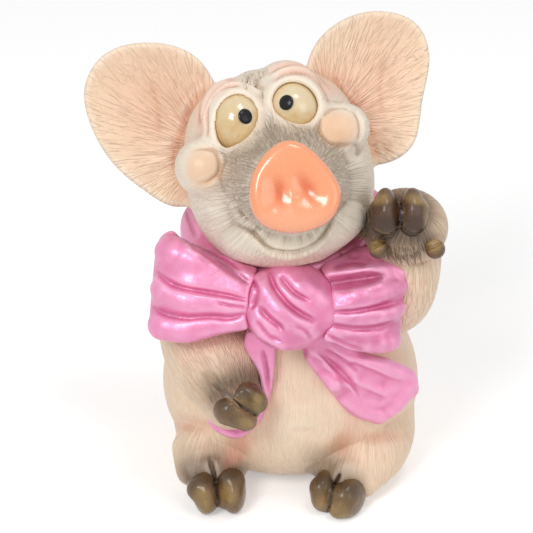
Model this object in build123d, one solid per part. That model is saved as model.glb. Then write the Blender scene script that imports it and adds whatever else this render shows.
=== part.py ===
from build123d import *
import os
from math import cos, pi, sin

os.makedirs("parts", exist_ok=True)

# The figure sits on its rump on the floor, faces -Y and leans its face up by the face tilt.
# Left and right are the animal's own sides, so its left is +X.
face_tilt = 30.0

# Clearance of a glued peg in its hole
glue_gap = 0.05

# Felt pad under the rump
pad_thickness = 0.8
pad_inset = 1.2

# Torso, a pear whose top is the spigot that the head sits on
torso_height = 55.0
torso_width = 52.0
torso_depth = 44.0
torso_lean = 2.5
# Height of the torso's top, from which the head and the bow are set
neck_rise = pad_thickness + torso_height
# Up the torso: height, width, depth and forward lean
torso_shares = [
    (0.00, 0.58, 0.50, 0.40),
    (0.04, 0.75, 0.68, 0.45),
    (0.13, 0.92, 0.88, 0.55),
    (0.26, 1.00, 0.99, 0.60),
    (0.39, 0.98, 0.99, 0.60),
    (0.53, 0.88, 0.89, 1.00),
    (0.67, 0.81, 0.82, 1.20),
    (0.80, 0.76, 0.79, 1.10),
    (0.91, 0.70, 0.73, 1.00),
    (1.00, 0.50, 0.54, 1.00),
]

# Head, in its own frame: across, up the face and out of the face
head_side = 3.2
head_forward = 6.0
head_perch = 14.6
head_rise = neck_rise + head_perch
head_yaw = 3.0
head_roll = 12.0
head_width = 36.0
head_depth = 33.0
head_length = 38.0
head_chin = 21.5
head_lean = 5.0
# Up the head: height, width, depth and lean out of the face
head_shares = [
    (0.00, 0.22, 0.20, 1.00),
    (0.04, 0.46, 0.40, 0.80),
    (0.12, 0.74, 0.64, 0.50),
    (0.25, 0.92, 0.86, 0.20),
    (0.43, 1.00, 0.97, 0.00),
    (0.64, 0.96, 1.00, -0.20),
    (0.80, 0.86, 0.92, -0.40),
    (0.91, 0.68, 0.72, -0.60),
    (0.98, 0.38, 0.42, -0.70),
    (1.00, 0.16, 0.18, -0.70),
]

# Muzzle and jaw
muzzle_radius = 12.6
muzzle_length = 24.0
muzzle_drop = 6.2
# Out along the muzzle: reach, radius and drop
muzzle_shares = [
    (0.20, 1.10, 0.90),
    (0.45, 0.98, 0.95),
    (0.75, 0.80, 1.06),
    (0.98, 0.62, 1.14),
]
jaw_width = 28.0
jaw_height = 13.0
jaw_depth = 24.0
jaw_lift = 7.1
jaw_drop = head_chin - jaw_lift
jaw_reach = 7.0

# Snout disc with two nostrils pressed into it
snout_width = 16.8
snout_height = 16.8
snout_thickness = 4.6
snout_edge = 1.6
snout_side = 0.3
snout_sag = 0.8
snout_seat = 1.6
snout_drop = muzzle_drop + snout_sag
snout_reach = muzzle_length - snout_seat
# Round the disc from its right side, a pear that is narrower at the top
snout_outline_shares = [
    (0.50, -0.12),
    (0.36, 0.23),
    (0.04, 0.50),
    (-0.28, 0.36),
    (-0.48, 0.02),
    (-0.46, -0.26),
    (-0.22, -0.46),
    (0.12, -0.50),
    (0.40, -0.38),
]
nostril_width = 2.4
nostril_height = 3.2
nostril_depth = 3.0
nostril_spacing = 4.8

# Eyes, each under a brow dome and inside a ring of lid
right_eye_side = 6.4
right_eye_drop = 9.1
right_eye_width = 10.0
right_eye_height = 11.6
right_brow_rise = 1.6
left_eye_side = 4.5
left_eye_drop = 8.8
left_eye_width = 9.4
left_eye_height = 10.2
left_brow_rise = 2.6
right_eye_rise = head_length - head_chin - right_eye_drop
left_eye_rise = head_length - head_chin - left_eye_drop
eye_depth = 10.0
eye_inset = 6.5
eye_reach = head_depth / 2 - eye_inset
eye_splay = 12.0
lid_thickness = 2.0
lid_reach = 1.2
brow_width = 13.6
brow_height = 13.8
brow_depth = 13.0
brow_setback = 3.8
pupil_radius = 1.45
pupil_bulge = 0.5
# Where each pupil lies on its eyeball, from the middle: across and up
right_pupil_shares = (0.14, 0.05)
left_pupil_shares = (-0.13, 0.12)

# Round cheeks
cheek_radius = 4.3
cheek_inset = 4.3
cheek_sink = 7.7
cheek_spacing = head_width - 2 * cheek_inset
cheek_reach = head_depth / 2 - cheek_sink
cheek_rise = 1.0
cheek_slope = 1.9

# Ears, dished plates on a thick root that a peg joins to the head
ear_reach = 20.0
ear_height = 32.4
ear_thickness = 2.4
ear_dish_radius = 26.0
ear_setback = 2.0
ear_root_inset = 4.0
ear_root_side = head_width / 2 - ear_root_inset
ear_root_drop = 5.8
ear_root_rise = 13.0
ear_root_width = 11.0
ear_root_height = 17.0
ear_root_depth = 7.0
ear_peg_radius = 1.2
ear_peg_length = 9.0
# Round each ear: out from its root and up
right_ear_shares = [
    (-0.28, 0.66),
    (-0.08, 0.90),
    (0.30, 1.00),
    (0.70, 0.98),
    (0.95, 0.82),
    (0.97, 0.58),
    (0.80, 0.30),
    (0.58, 0.13),
    (0.30, 0.00),
    (0.04, 0.04),
    (-0.22, 0.30),
]
left_ear_shares = [
    (-0.20, 0.68),
    (-0.06, 0.80),
    (0.24, 0.90),
    (0.64, 0.90),
    (0.95, 0.77),
    (1.00, 0.58),
    (0.84, 0.32),
    (0.64, 0.07),
    (0.30, 0.00),
    (0.04, 0.05),
    (-0.18, 0.32),
]

# Front legs, held like arms, each on a peg across the torso's side
arm_spread = torso_width / 2
hand_stand_off = 6.0
arm_reach = torso_depth / 2 + hand_stand_off
shoulder_drop = 17.8
arm_rise = neck_rise - shoulder_drop
arm_radius = 7.8
arm_peg_radius = 1.6
arm_peg_length = 8.0
arm_peg_inset = 7.5
arm_peg_side = torso_width / 2 - arm_peg_inset
arm_peg_forward = 6.0
arm_peg_drop = 1.0
arm_peg_rise = arm_rise - arm_peg_drop
# Along each arm: sideways, forward, up and radius
right_arm_shares = [
    (0.600, 0.12, 1.010, 1.02),
    (0.620, 0.37, 0.910, 1.30),
    (0.550, 0.60, 0.840, 1.30),
    (0.500, 0.78, 0.780, 1.08),
    (0.450, 0.90, 0.722, 0.78),
]
left_arm_shares = [
    (0.615, 0.14, 1.010, 0.90),
    (0.740, 0.32, 1.065, 0.95),
    (0.810, 0.46, 1.180, 0.90),
    (0.850, 0.54, 1.380, 0.84),
    (0.820, 0.63, 1.610, 0.84),
]
palm_width = 16.4
palm_height = 15.0
palm_depth = 11.0
palm_claw_side = 1.5
palm_claw_rise = 0.8

# Hind legs, each on a peg into the torso's front
leg_inset = 10.0
foot_set_back = 1.5
leg_spread = torso_width / 2 - leg_inset
leg_reach = torso_depth / 2 - foot_set_back
leg_rise = 10.0
leg_radius = 9.0
foot_lift = 0.3
leg_peg_radius = 1.8
leg_peg_length = 8.0
leg_peg_inset = 6.0
leg_peg_forward = torso_depth / 2 - leg_peg_inset
leg_peg_rise = 8.5
# Along each leg: sideways, forward, up and radius
right_leg_shares = [
    (0.86, 0.08, 1.12, 1.00),
    (0.95, 0.44, 0.92, 0.91),
    (0.95, 0.68, 0.74, 0.80),
    (0.91, 0.86, 0.58, 0.62),
]
left_leg_shares = [
    (0.90, 0.08, 1.12, 1.00),
    (1.07, 0.42, 0.96, 0.92),
    (0.98, 0.70, 0.78, 0.83),
    (0.74, 0.91, 0.60, 0.65),
]

# Cloven hoofs, two claws on each foot and two dewclaws on the raised one
claw_width = 5.2
claw_length = 9.8
claw_height = 9.0
claw_gap = 0.3
claw_sole_share = 0.42
foot_claw_reach = 5.2
palm_claw_share = 0.92
palm_claw_reach = 2.0
hand_claw_share = 0.84
hand_claw_reach = 3.8
dewclaw_radius = 1.9
dewclaw_spacing = 10.6
dewclaw_drop = 4.2
# Which way each pair of claws points, and the way across the hand's pair
right_hand_way = (0.58, -0.78, 0.20)
right_hand_across = (0.54, 0.55, 0.60)
right_foot_way = (0.05, -1.00, 0.00)
left_foot_way = (-0.45, -0.89, 0.00)

# Bow: a neck ribbon, a knot, two loops and two tails, in the tilt of the face
ribbon_thickness = 2.6
ribbon_width = 9.4
ribbon_edge = 1.8
ribbon_forward = 2.4
ribbon_drop = 4.6
ribbon_side = 1.0
ribbon_tilt = 4.0
ribbon_roll = 3.0
bow_side = 0.6
bow_stand_off = 2.0
bow_forward = torso_depth / 2 + bow_stand_off
bow_drop = 8.0
bow_rise = neck_rise - bow_drop
knot_width = 17.8
knot_height = 17.4
knot_depth = 13.0
right_loop_length = 26.2
left_loop_length = 22.0
loop_height = 21.0
loop_depth = 11.0
loop_folds = 7
loop_fold_share = 0.05
loop_lean = 5.0
loop_mouth_length = 15.0
loop_mouth_height = 9.0
loop_mouth_depth = 2.2
# Out along each loop: reach, height, depth, rise and setback
right_loop_shares = [
    (0.20, 0.50, 0.36, 0.04, 0.00),
    (0.42, 0.68, 0.80, 0.08, 0.05),
    (0.70, 0.88, 1.00, 0.14, 0.16),
    (0.88, 0.97, 0.90, 0.18, 0.30),
    (0.97, 0.86, 0.62, 0.18, 0.42),
    (1.00, 0.62, 0.30, 0.18, 0.46),
]
left_loop_shares = [
    (0.24, 0.54, 0.36, 0.04, 0.00),
    (0.45, 0.74, 0.80, 0.04, 0.05),
    (0.75, 0.94, 1.00, 0.06, 0.16),
    (0.91, 1.00, 0.84, 0.07, 0.30),
    (0.98, 0.84, 0.58, 0.08, 0.40),
    (1.00, 0.60, 0.28, 0.08, 0.44),
]
tail_thickness = 3.2
tail_width = 13.0
tail_spread = 20.0
tail_length = 29.4
# Down each tail: sideways, forward, down from the knot and width
right_tail_shares = [
    (0.30, 0.94, 0.20, 0.42),
    (0.32, 0.98, 0.48, 0.50),
    (0.42, 0.97, 0.74, 0.66),
    (0.62, 0.91, 0.98, 0.76),
    (0.67, 0.89, 1.04, 0.52),
]
left_tail_shares = [
    (0.14, 0.96, 0.20, 0.42),
    (0.45, 0.93, 0.44, 0.64),
    (0.74, 0.87, 0.66, 0.94),
    (0.94, 0.79, 0.85, 1.16),
    (1.01, 0.74, 0.92, 0.92),
]

# Curly tail on the rump
curl_radius = 3.2
curl_thickness = 2.8
curl_rise = 13.0
curl_turn = 300.0


def place(side, forward, rise):
    return Vector(side, -forward, rise)


def face_frame(side, forward, rise, yaw=0.0, roll=0.0):
    # X across, Y up the face and Z out of it
    turned = Rot(90 - face_tilt, 0, 0) * Rot(0, yaw, 0) * Rot(0, 0, roll)
    return Pos(side, -forward, rise) * turned


head_frame = face_frame(-head_side, head_forward, head_rise, head_yaw, head_roll)
bow_frame = face_frame(-bow_side, bow_forward, bow_rise)


def ellipsoid(sizes):
    return scale(Sphere(1), by=tuple(size / 2 for size in sizes))


def oval(width, depth):
    return Ellipse(width / 2, depth / 2)


def seated(form, *others):
    # What is left of a form outside the pieces that it sits on
    for other in others:
        form -= other
    return max(form.solids(), key=lambda solid: solid.volume)


def torso_form():
    sections = []
    for rise, width, depth, lean in torso_shares:
        middle = Pos(0, -lean * torso_lean, pad_thickness + rise * torso_height)
        sections.append(middle * oval(width * torso_width, depth * torso_depth))
    return loft(sections)


def base_felt():
    rise, width, depth, lean = torso_shares[0]
    pad = oval(width * torso_width - 2 * pad_inset, depth * torso_depth - 2 * pad_inset)
    return Pos(0, -lean * torso_lean, 0) * extrude(pad, pad_thickness)


def skull():
    sections = []
    for rise, width, depth, lean in head_shares:
        middle = (0, rise * head_length - head_chin, lean * head_lean)
        plane = Plane(origin=middle, x_dir=(1, 0, 0), z_dir=(0, 1, 0))
        sections.append(plane * oval(width * head_width, depth * head_depth))
    return loft(sections)


def muzzle():
    sections = []
    for reach, radius, drop in muzzle_shares:
        middle = Pos(0, -drop * muzzle_drop, reach * muzzle_length)
        sections.append(middle * Circle(radius * muzzle_radius))
    return loft(sections)


def eye_frame(side):
    across, rise = (-right_eye_side, right_eye_rise) if side < 0 else (left_eye_side, left_eye_rise)
    return Pos(across, rise, eye_reach) * Rot(0, 0, side * eye_splay)


def eyeball_sizes(side):
    if side < 0:
        return right_eye_width, right_eye_height, eye_depth
    return left_eye_width, left_eye_height, eye_depth


def eyeball(side):
    return head_frame * eye_frame(side) * ellipsoid(eyeball_sizes(side))


def eyelids(side):
    width, height, depth = eyeball_sizes(side)
    rise = right_brow_rise if side < 0 else left_brow_rise
    brow = Pos(0, rise, -brow_setback) * ellipsoid((brow_width, brow_height, brow_depth))
    ring = Torus((width + lid_thickness / 2) / 2, lid_thickness / 2)
    lid = Pos(0, 0, lid_reach) * scale(ring, by=(1, height / width, 1))
    return eye_frame(side) * (brow + lid)


def pupil(side):
    width, height, depth = eyeball_sizes(side)
    shift, lift = right_pupil_shares if side < 0 else left_pupil_shares
    reach = (1 - (2 * shift) ** 2 - (2 * lift) ** 2) ** 0.5
    middle = Pos(shift * width, lift * height, reach * depth / 2)
    turned = Rot(-lift * 180, shift * 180, 0)
    lens = middle * turned * ellipsoid((2 * pupil_radius, 2 * pupil_radius, 2 * pupil_bulge))
    return head_frame * eye_frame(side) * lens - eyeball(side)


def cheek(side):
    middle = Pos(side * cheek_spacing / 2, cheek_rise + side * cheek_slope / 2, cheek_reach)
    return middle * Sphere(cheek_radius)


def head_form():
    form = skull() + muzzle()
    form += Pos(0, -jaw_drop, jaw_reach) * ellipsoid((jaw_width, jaw_height, jaw_depth))
    for side in (-1, 1):
        form += cheek(side)
        form += eyelids(side)
    return head_frame * form


def snout():
    points = [(x * snout_width, y * snout_height) for x, y in snout_outline_shares]
    outline = make_face(Spline(*points, periodic=True))
    disc = extrude(outline, snout_thickness)
    disc = fillet(disc.edges().group_by(Axis.Z)[-1], snout_edge)
    for side in (-1, 1):
        middle = Pos(side * nostril_spacing / 2, 0, snout_thickness)
        disc -= middle * ellipsoid((nostril_width, nostril_height, nostril_depth))
    return head_frame * Pos(snout_side, -snout_drop, snout_reach) * disc


def ear_plate(side, shares):
    points = []
    for out, up in shares:
        points.append((side * (ear_root_side + out * ear_reach), up * ear_height - ear_root_drop))
    outline = make_face(Spline(*points, periodic=True))
    block = Pos(0, 0, -ear_setback - ear_dish_radius / 2) * extrude(outline, ear_dish_radius)
    lift = (ear_dish_radius ** 2 - (ear_height / 2) ** 2) ** 0.5 - ear_setback
    middle = Pos(side * (ear_root_side + ear_reach / 2), ear_height / 2 - ear_root_drop, lift)
    dish = Sphere(ear_dish_radius + ear_thickness) - Sphere(ear_dish_radius)
    return block & (middle * dish)


def ear_root_frame(side):
    return Pos(side * ear_root_side, ear_root_rise - ear_root_drop, -ear_setback - ear_root_depth)


def ear_peg(side, spare):
    rod = Cylinder(ear_peg_radius + spare, ear_peg_length + 2 * spare)
    return head_frame * ear_root_frame(side) * Rot(0, 90, 0) * rod


def ear(side, shares, head):
    root = ear_root_frame(side) * ellipsoid((ear_root_width, ear_root_height, ear_root_depth))
    return seated(head_frame * (ear_plate(side, shares) + root), head) + ear_peg(side, 0)


def path_points(side, shares, spread, reach, rise):
    return [place(side * out * spread, ahead * reach, up * rise) for out, ahead, up, size in shares]


def limb(points, shares, radius, end):
    path = Spline(*points)
    sections = []
    for point, share in zip(points, shares):
        way = path % path.param_at_point(point)
        sections.append(Plane(origin=point, z_dir=way) * Circle(share[-1] * radius))
    return loft(sections) + end


right_arm_points = path_points(-1, right_arm_shares, arm_spread, arm_reach, arm_rise)
left_arm_points = path_points(1, left_arm_shares, arm_spread, arm_reach, arm_rise)
right_leg_points = path_points(-1, right_leg_shares, leg_spread, leg_reach, leg_rise)
left_leg_points = path_points(1, left_leg_shares, leg_spread, leg_reach, leg_rise)
palm_frame = Pos(*left_arm_points[-1]) * Rot(90 - face_tilt, 0, 0)


def round_end(points, shares, radius):
    return Pos(*points[-1]) * Sphere(shares[-1][-1] * radius)


def arm_peg(side, spare):
    middle = Pos(*place(side * arm_peg_side, arm_peg_forward, arm_peg_rise))
    return middle * Rot(0, 90, 0) * Cylinder(arm_peg_radius + spare, arm_peg_length + 2 * spare)


def leg_peg(side, spare):
    middle = Pos(*place(side * leg_spread, leg_peg_forward, leg_peg_rise))
    return middle * Rot(90, 0, 0) * Cylinder(leg_peg_radius + spare, leg_peg_length + 2 * spare)


def below(rise):
    size = 2 * torso_width
    return Pos(0, 0, rise - size / 2) * Box(size, size, size)


def claw_pair(frame, share, reach):
    pair = []
    for side in (-1, 1):
        middle = Pos(side * (share * claw_width + claw_gap) / 2, 0, reach)
        sizes = (share * claw_width, share * claw_height, share * claw_length)
        pair.append(frame * middle * ellipsoid(sizes))
    return pair


def foot_claws(tip, way, leg):
    low = place(tip.X, -tip.Y, claw_height * claw_sole_share)
    frame = Location(Plane(origin=low, x_dir=Vector(*way).cross(Vector(0, 0, 1)), z_dir=way))
    claws = claw_pair(frame, 1, foot_claw_reach)
    return Compound(children=[seated(claw, leg, torso, below(0)) for claw in claws])


def right_hand_claws(arm):
    frame = Location(Plane(origin=right_arm_points[-1], x_dir=right_hand_across, z_dir=right_hand_way))
    claws = claw_pair(frame, hand_claw_share, hand_claw_reach)
    return Compound(children=[seated(claw, arm, torso) for claw in claws])


def left_hand_claws(arm):
    frame = palm_frame * Pos(-palm_claw_side, palm_claw_rise, palm_depth / 2) * Rot(-90, 0, 0)
    claws = claw_pair(frame, palm_claw_share, palm_claw_reach)
    for side in (-1, 1):
        middle = Pos(side * dewclaw_spacing / 2, -dewclaw_drop, palm_depth / 2)
        claws.append(palm_frame * middle * Sphere(dewclaw_radius))
    return Compound(children=[seated(claw, arm, head) for claw in claws])


def neck_ribbon():
    # A thick disc whose middle the torso takes out
    rise, width, depth, lean = torso_shares[-2]
    outline = oval(width * torso_width + 2 * ribbon_thickness, depth * torso_depth + 2 * ribbon_thickness)
    disc = extrude(outline, ribbon_width / 2, both=True)
    disc = fillet(disc.edges(), ribbon_edge)
    middle = Pos(-ribbon_side, -ribbon_forward, neck_rise - ribbon_drop)
    return middle * Rot(ribbon_tilt, -ribbon_roll, 0) * disc


def folded_oval(height, depth):
    # An oval whose outline swells out at each fold and draws in between folds
    points = []
    for index in range(2 * loop_folds):
        angle = pi * index / loop_folds
        swell = 1 + loop_fold_share * (-1) ** index
        points.append((height / 2 * cos(angle) * swell, depth / 2 * sin(angle) * swell))
    return make_face(Spline(*points, periodic=True))


def bow_loop(side, shares, length):
    sections = []
    for reach, height, depth, rise, back in shares:
        middle = Pos(side * reach * length, rise * loop_height, -back * loop_depth)
        turned = Rot(0, 0, -reach * loop_lean)
        plane = Plane(origin=(0, 0, 0), x_dir=(0, 1, 0), z_dir=(side, 0, 0))
        section = plane * folded_oval(height * loop_height, depth * loop_depth)
        sections.append(middle * turned * section)
    reach, height, depth, rise, back = shares[2]
    top = Pos(side * reach * length, (rise + height / 2) * loop_height, -back * loop_depth)
    mouth = top * ellipsoid((loop_mouth_length, loop_mouth_height, loop_mouth_depth))
    return bow_frame * (loft(sections) - mouth)


def bow_tail(side, shares):
    points = []
    for out, ahead, down, size in shares:
        points.append(place(side * out * tail_spread, ahead * bow_forward, bow_rise - down * tail_length))
    path = Spline(*points)
    sections = []
    for point, share in zip(points, shares):
        way = path % path.param_at_point(point)
        plane = Plane(origin=point, x_dir=way.cross(Vector(0, -1, 0)), z_dir=way)
        sections.append(plane * oval(share[-1] * tail_width, tail_thickness))
    return loft(sections)


def curly_tail():
    rise, width, depth, lean = torso_shares[3]
    back = depth * torso_depth / 2 - lean * torso_lean
    frame = Pos(0, back, curl_rise) * Rot(90, 0, 0)
    return frame * Torus(curl_radius, curl_thickness / 2, major_angle=curl_turn)


torso = torso_form()
head = seated(head_form(), torso, eyeball(-1), eyeball(1))

palm = palm_frame * ellipsoid((palm_width, palm_height, palm_depth))
right_hand = round_end(right_arm_points, right_arm_shares, arm_radius)
right_foot = round_end(right_leg_points, right_leg_shares, leg_radius)
left_foot = round_end(left_leg_points, left_leg_shares, leg_radius)

right_arm = seated(limb(right_arm_points, right_arm_shares, arm_radius, right_hand), torso)
left_arm = seated(limb(left_arm_points, left_arm_shares, arm_radius, palm), torso, head)
right_arm_claws = right_hand_claws(right_arm)
left_arm_claws = left_hand_claws(left_arm)

floor = below(foot_lift)
right_leg = seated(limb(right_leg_points, right_leg_shares, leg_radius, right_foot), torso, floor)
left_leg = seated(limb(left_leg_points, left_leg_shares, leg_radius, left_foot), torso, floor)

ribbon = seated(neck_ribbon(), torso, head, left_arm, right_arm)
knot = seated(bow_frame * ellipsoid((knot_width, knot_height, knot_depth)), torso, head, ribbon)
right_loop = bow_loop(-1, right_loop_shares, right_loop_length)
right_loop = seated(right_loop, knot, head, torso, ribbon, right_arm)
left_loop = bow_loop(1, left_loop_shares, left_loop_length)
left_loop = seated(left_loop, knot, head, torso, ribbon, left_arm)
right_tail = seated(bow_tail(-1, right_tail_shares), torso, knot, right_arm, *right_arm_claws.solids())
left_tail = seated(bow_tail(1, left_tail_shares), torso, knot, left_loop, left_leg)

# Pegs and their holes come last, once the pieces have taken their seats
pieces = {
    "torso": torso,
    "base_felt": base_felt(),
    "head": head,
    "snout": seated(snout(), head),
    "right_eyeball": eyeball(-1),
    "left_eyeball": eyeball(1),
    "right_pupil": seated(pupil(-1), head),
    "left_pupil": seated(pupil(1), head),
    "right_ear": ear(-1, right_ear_shares, head),
    "left_ear": ear(1, left_ear_shares, head),
    "right_arm": right_arm + arm_peg(-1, 0),
    "left_arm": left_arm + arm_peg(1, 0),
    "right_arm_claws": right_arm_claws,
    "left_arm_claws": left_arm_claws,
    "right_leg": right_leg + leg_peg(-1, 0),
    "left_leg": left_leg + leg_peg(1, 0),
    "right_leg_claws": foot_claws(right_leg_points[-1], right_foot_way, right_leg),
    "left_leg_claws": foot_claws(left_leg_points[-1], left_foot_way, left_leg),
    "neck_ribbon": ribbon,
    "bow_knot": knot,
    "right_bow_loop": right_loop,
    "left_bow_loop": left_loop,
    "right_bow_tail": right_tail,
    "left_bow_tail": left_tail,
    "curly_tail": seated(curly_tail(), torso),
}
for side in (-1, 1):
    pieces["torso"] -= arm_peg(side, glue_gap)
    pieces["torso"] -= leg_peg(side, glue_gap)
    pieces["head"] -= ear_peg(side, glue_gap)

for name, piece in pieces.items():
    export_step(piece, f"parts/{name}.step")
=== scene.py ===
import bpy
import numpy as np
import openvdb
from math import radians, sin, cos, pi
from mathutils import Matrix, Vector


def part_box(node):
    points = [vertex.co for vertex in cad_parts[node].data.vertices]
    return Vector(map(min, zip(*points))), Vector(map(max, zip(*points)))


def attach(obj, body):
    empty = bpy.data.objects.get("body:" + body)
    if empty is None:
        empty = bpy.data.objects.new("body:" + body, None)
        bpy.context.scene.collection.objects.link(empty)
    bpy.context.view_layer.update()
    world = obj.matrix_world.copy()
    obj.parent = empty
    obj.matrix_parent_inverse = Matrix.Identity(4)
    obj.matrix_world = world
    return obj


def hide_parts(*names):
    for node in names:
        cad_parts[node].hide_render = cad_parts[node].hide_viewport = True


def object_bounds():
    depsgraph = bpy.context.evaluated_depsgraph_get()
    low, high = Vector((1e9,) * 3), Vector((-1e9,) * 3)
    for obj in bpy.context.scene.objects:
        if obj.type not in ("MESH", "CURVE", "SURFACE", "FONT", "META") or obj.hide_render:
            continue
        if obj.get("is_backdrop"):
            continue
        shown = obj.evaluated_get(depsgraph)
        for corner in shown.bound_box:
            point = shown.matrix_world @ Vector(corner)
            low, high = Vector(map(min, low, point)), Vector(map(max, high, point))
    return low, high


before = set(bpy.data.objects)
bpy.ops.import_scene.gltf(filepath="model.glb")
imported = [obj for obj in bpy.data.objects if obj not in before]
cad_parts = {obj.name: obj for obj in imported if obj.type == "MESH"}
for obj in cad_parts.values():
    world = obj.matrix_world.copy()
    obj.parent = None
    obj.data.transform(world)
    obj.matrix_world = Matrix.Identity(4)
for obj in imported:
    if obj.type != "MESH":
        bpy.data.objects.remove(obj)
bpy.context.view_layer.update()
print("frame loaded")

# Shapes are worked in millimetres and go to metres when a mesh is made.

# Camera
view = {
    "target": (-4.9, 0.0, 42.4),
    "distance": 450.0,
    "elevation": 30.0,
    "focal": 2250.0,   # in picture points
    "picture": 533.0,
}
viewUp = np.array([0, sin(radians(view["elevation"])), cos(radians(view["elevation"]))])
viewBack = np.array([0, -cos(radians(view["elevation"])), sin(radians(view["elevation"]))])
viewRight = np.array([1.0, 0, 0])


def toPicture(points):
    away = points - np.array(view["target"])
    scale = view["focal"] / (view["distance"] - away @ viewBack)
    middle = view["picture"] / 2
    return np.stack([middle + away @ viewRight * scale, middle - away @ viewUp * scale], -1)


def fromPicture(across, down, depth):
    scale = view["focal"] / (view["distance"] - depth)
    middle = view["picture"] / 2
    return (np.array(view["target"]) + viewRight * (across - middle) / scale
            + viewUp * (middle - down) / scale + viewBack * depth)


def placeCamera():
    data = bpy.data.cameras.new("studioCamera")
    camera = bpy.data.objects.new("studioCamera", data)
    bpy.context.collection.objects.link(camera)
    data.sensor_width = 36.0
    data.lens = view["focal"] / view["picture"] * data.sensor_width
    data.clip_start, data.clip_end = 0.02, 20
    spot = np.array(view["target"]) + viewBack * view["distance"]
    camera.location = Vector(spot) / 1000
    camera.rotation_euler = (radians(90 - view["elevation"]), 0, 0)
    bpy.context.scene.camera = camera


# Head's own frame
headPlace = {"centre": (-3.2, -6.0, 70.4), "tilt": 60.0, "yaw": 3.0, "roll": 12.0}
headTurn = np.array(
    Matrix.Rotation(radians(headPlace["tilt"]), 3, "X")
    @ Matrix.Rotation(radians(headPlace["yaw"]), 3, "Y")
    @ Matrix.Rotation(radians(headPlace["roll"]), 3, "Z"))
headMiddle = np.array(headPlace["centre"])


def fromHead(*spot):
    return headMiddle + headTurn @ np.array(spot, float)


def toHead(points):
    return (points - headMiddle) @ headTurn


# Clay: distance fields on a grid
class Clay:
    def __init__(self, low, high, grain):
        self.grain = grain
        self.first = np.floor(np.array(low) / grain).astype(int) - 5
        self.size = np.ceil(np.array(high) / grain).astype(int) + 6 - self.first
        lines = [((np.arange(n) + f) * grain).astype(np.float32) for n, f in zip(self.size, self.first)]
        self.x, self.y, self.z = np.meshgrid(*lines, indexing="ij", sparse=True)
        self.far = np.float32(10 * grain)
        self.form = np.full(self.size, self.far, np.float32)

    def fromNode(self, node):
        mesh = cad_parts[node].data
        mesh.calc_loop_triangles()
        points = np.empty(len(mesh.vertices) * 3, np.float32)
        mesh.vertices.foreach_get("co", points)
        corners = np.empty(len(mesh.loop_triangles) * 3, np.int32)
        mesh.loop_triangles.foreach_get("vertices", corners)
        grid = openvdb.FloatGrid.createLevelSetFromPolygons(
            points.reshape(-1, 3) * 1000, triangles=corners.reshape(-1, 3).astype(np.uint32),
            transform=openvdb.createLinearTransform(self.grain), halfWidth=10.0)
        out = np.empty(self.size, np.float32)
        grid.copyToArray(out, ijk=tuple(int(f) for f in self.first))
        return out

    def ball(self, centre, radii, turn=None):
        x, y, z = self.x - centre[0], self.y - centre[1], self.z - centre[2]
        if turn is not None:
            x, y, z = (x * turn[0][i] + y * turn[1][i] + z * turn[2][i] for i in range(3))
        near = np.sqrt((x / radii[0]) ** 2 + (y / radii[1]) ** 2 + (z / radii[2]) ** 2)
        steep = np.sqrt((x / radii[0] ** 2) ** 2 + (y / radii[1] ** 2) ** 2 + (z / radii[2] ** 2) ** 2)
        return near * (near - 1) / np.maximum(steep, 1e-6)

    def tube(self, spots, radii):
        out = None
        for (a, b), (ra, rb) in zip(zip(spots[:-1], spots[1:]), zip(radii[:-1], radii[1:])):
            a, b = np.array(a, float), np.array(b, float)
            way = b - a
            long = max(way @ way, 1e-9)
            x, y, z = self.x - a[0], self.y - a[1], self.z - a[2]
            along = np.clip((x * way[0] + y * way[1] + z * way[2]) / long, 0, 1)
            gap = np.sqrt((x - along * way[0]) ** 2 + (y - along * way[1]) ** 2 + (z - along * way[2]) ** 2)
            gap -= ra + (rb - ra) * along
            out = gap if out is None else np.minimum(out, gap)
        return out

    def add(self, other, blend=0.0):
        self.form = joined(self.form, other, blend)

    def cut(self, other, blend=0.0):
        self.form = -joined(-self.form, other, blend)

    def soften(self, passes):
        for _ in range(passes):
            for axis in range(3):
                form = np.moveaxis(self.form, axis, 0)
                form[1:-1] = (form[:-2] + 2 * form[1:-1] + form[2:]) / 4

    def onFront(self, spots, lift=0.0):
        # Where the camera's rays through picture points first meet the clay
        depths = np.arange(62.0, -45.0, -0.1)[:, None]
        out, depth = [], 0.0
        for across, down in spots:
            ray = fromPicture(across, down, depths)
            index = np.clip(np.round(ray / self.grain).astype(int) - self.first, 0, self.size - 1)
            inside = self.form[tuple(index.T)] < 0
            if inside.any():
                depth = depths[inside.argmax(), 0]
            out.append(fromPicture(across, down, depth + lift))
        return np.array(out)

    def settle(self, other, blend, sink=0.12):
        # The piece flows out onto its neighbour in a fillet and sinks under it past that
        near = self.form - blend
        self.form = np.maximum(joined(self.form, other + sink, blend), near)
        self.clearFloor()

    def clearFloor(self, height=0.3):
        self.form = np.maximum(self.form, height - self.z)

    def borrow(self, other):
        # Another clay's form, read off on this one's grid
        picks, shares = [], []
        for axis, line in enumerate((self.x, self.y, self.z)):
            place = np.clip(line.ravel() / other.grain - other.first[axis], 0, other.size[axis] - 1.001)
            picks.append(place.astype(int))
            shares.append((place - picks[-1]).astype(np.float32))
        out = 0
        for corner in range(8):
            bits = [corner >> axis & 1 for axis in range(3)]
            block = other.form[np.ix_(*(pick + bit for pick, bit in zip(picks, bits)))]
            for axis, (share, bit) in enumerate(zip(shares, bits)):
                shape = [-1 if i == axis else 1 for i in range(3)]
                block = block * (share if bit else 1 - share).reshape(shape)
            out = out + block
        return out

    def skin(self, keepAll=False):
        grid = openvdb.FloatGrid(float(self.far))
        grid.transform = openvdb.createLinearTransform(self.grain)
        grid.copyFromArray(np.clip(self.form, -self.far, self.far), ijk=tuple(int(f) for f in self.first))
        points, _, quads = grid.convertToPolygons(0.0, 0.0)
        return Skin(points.astype(np.float64), quads.astype(np.int64), keepAll)


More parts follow.
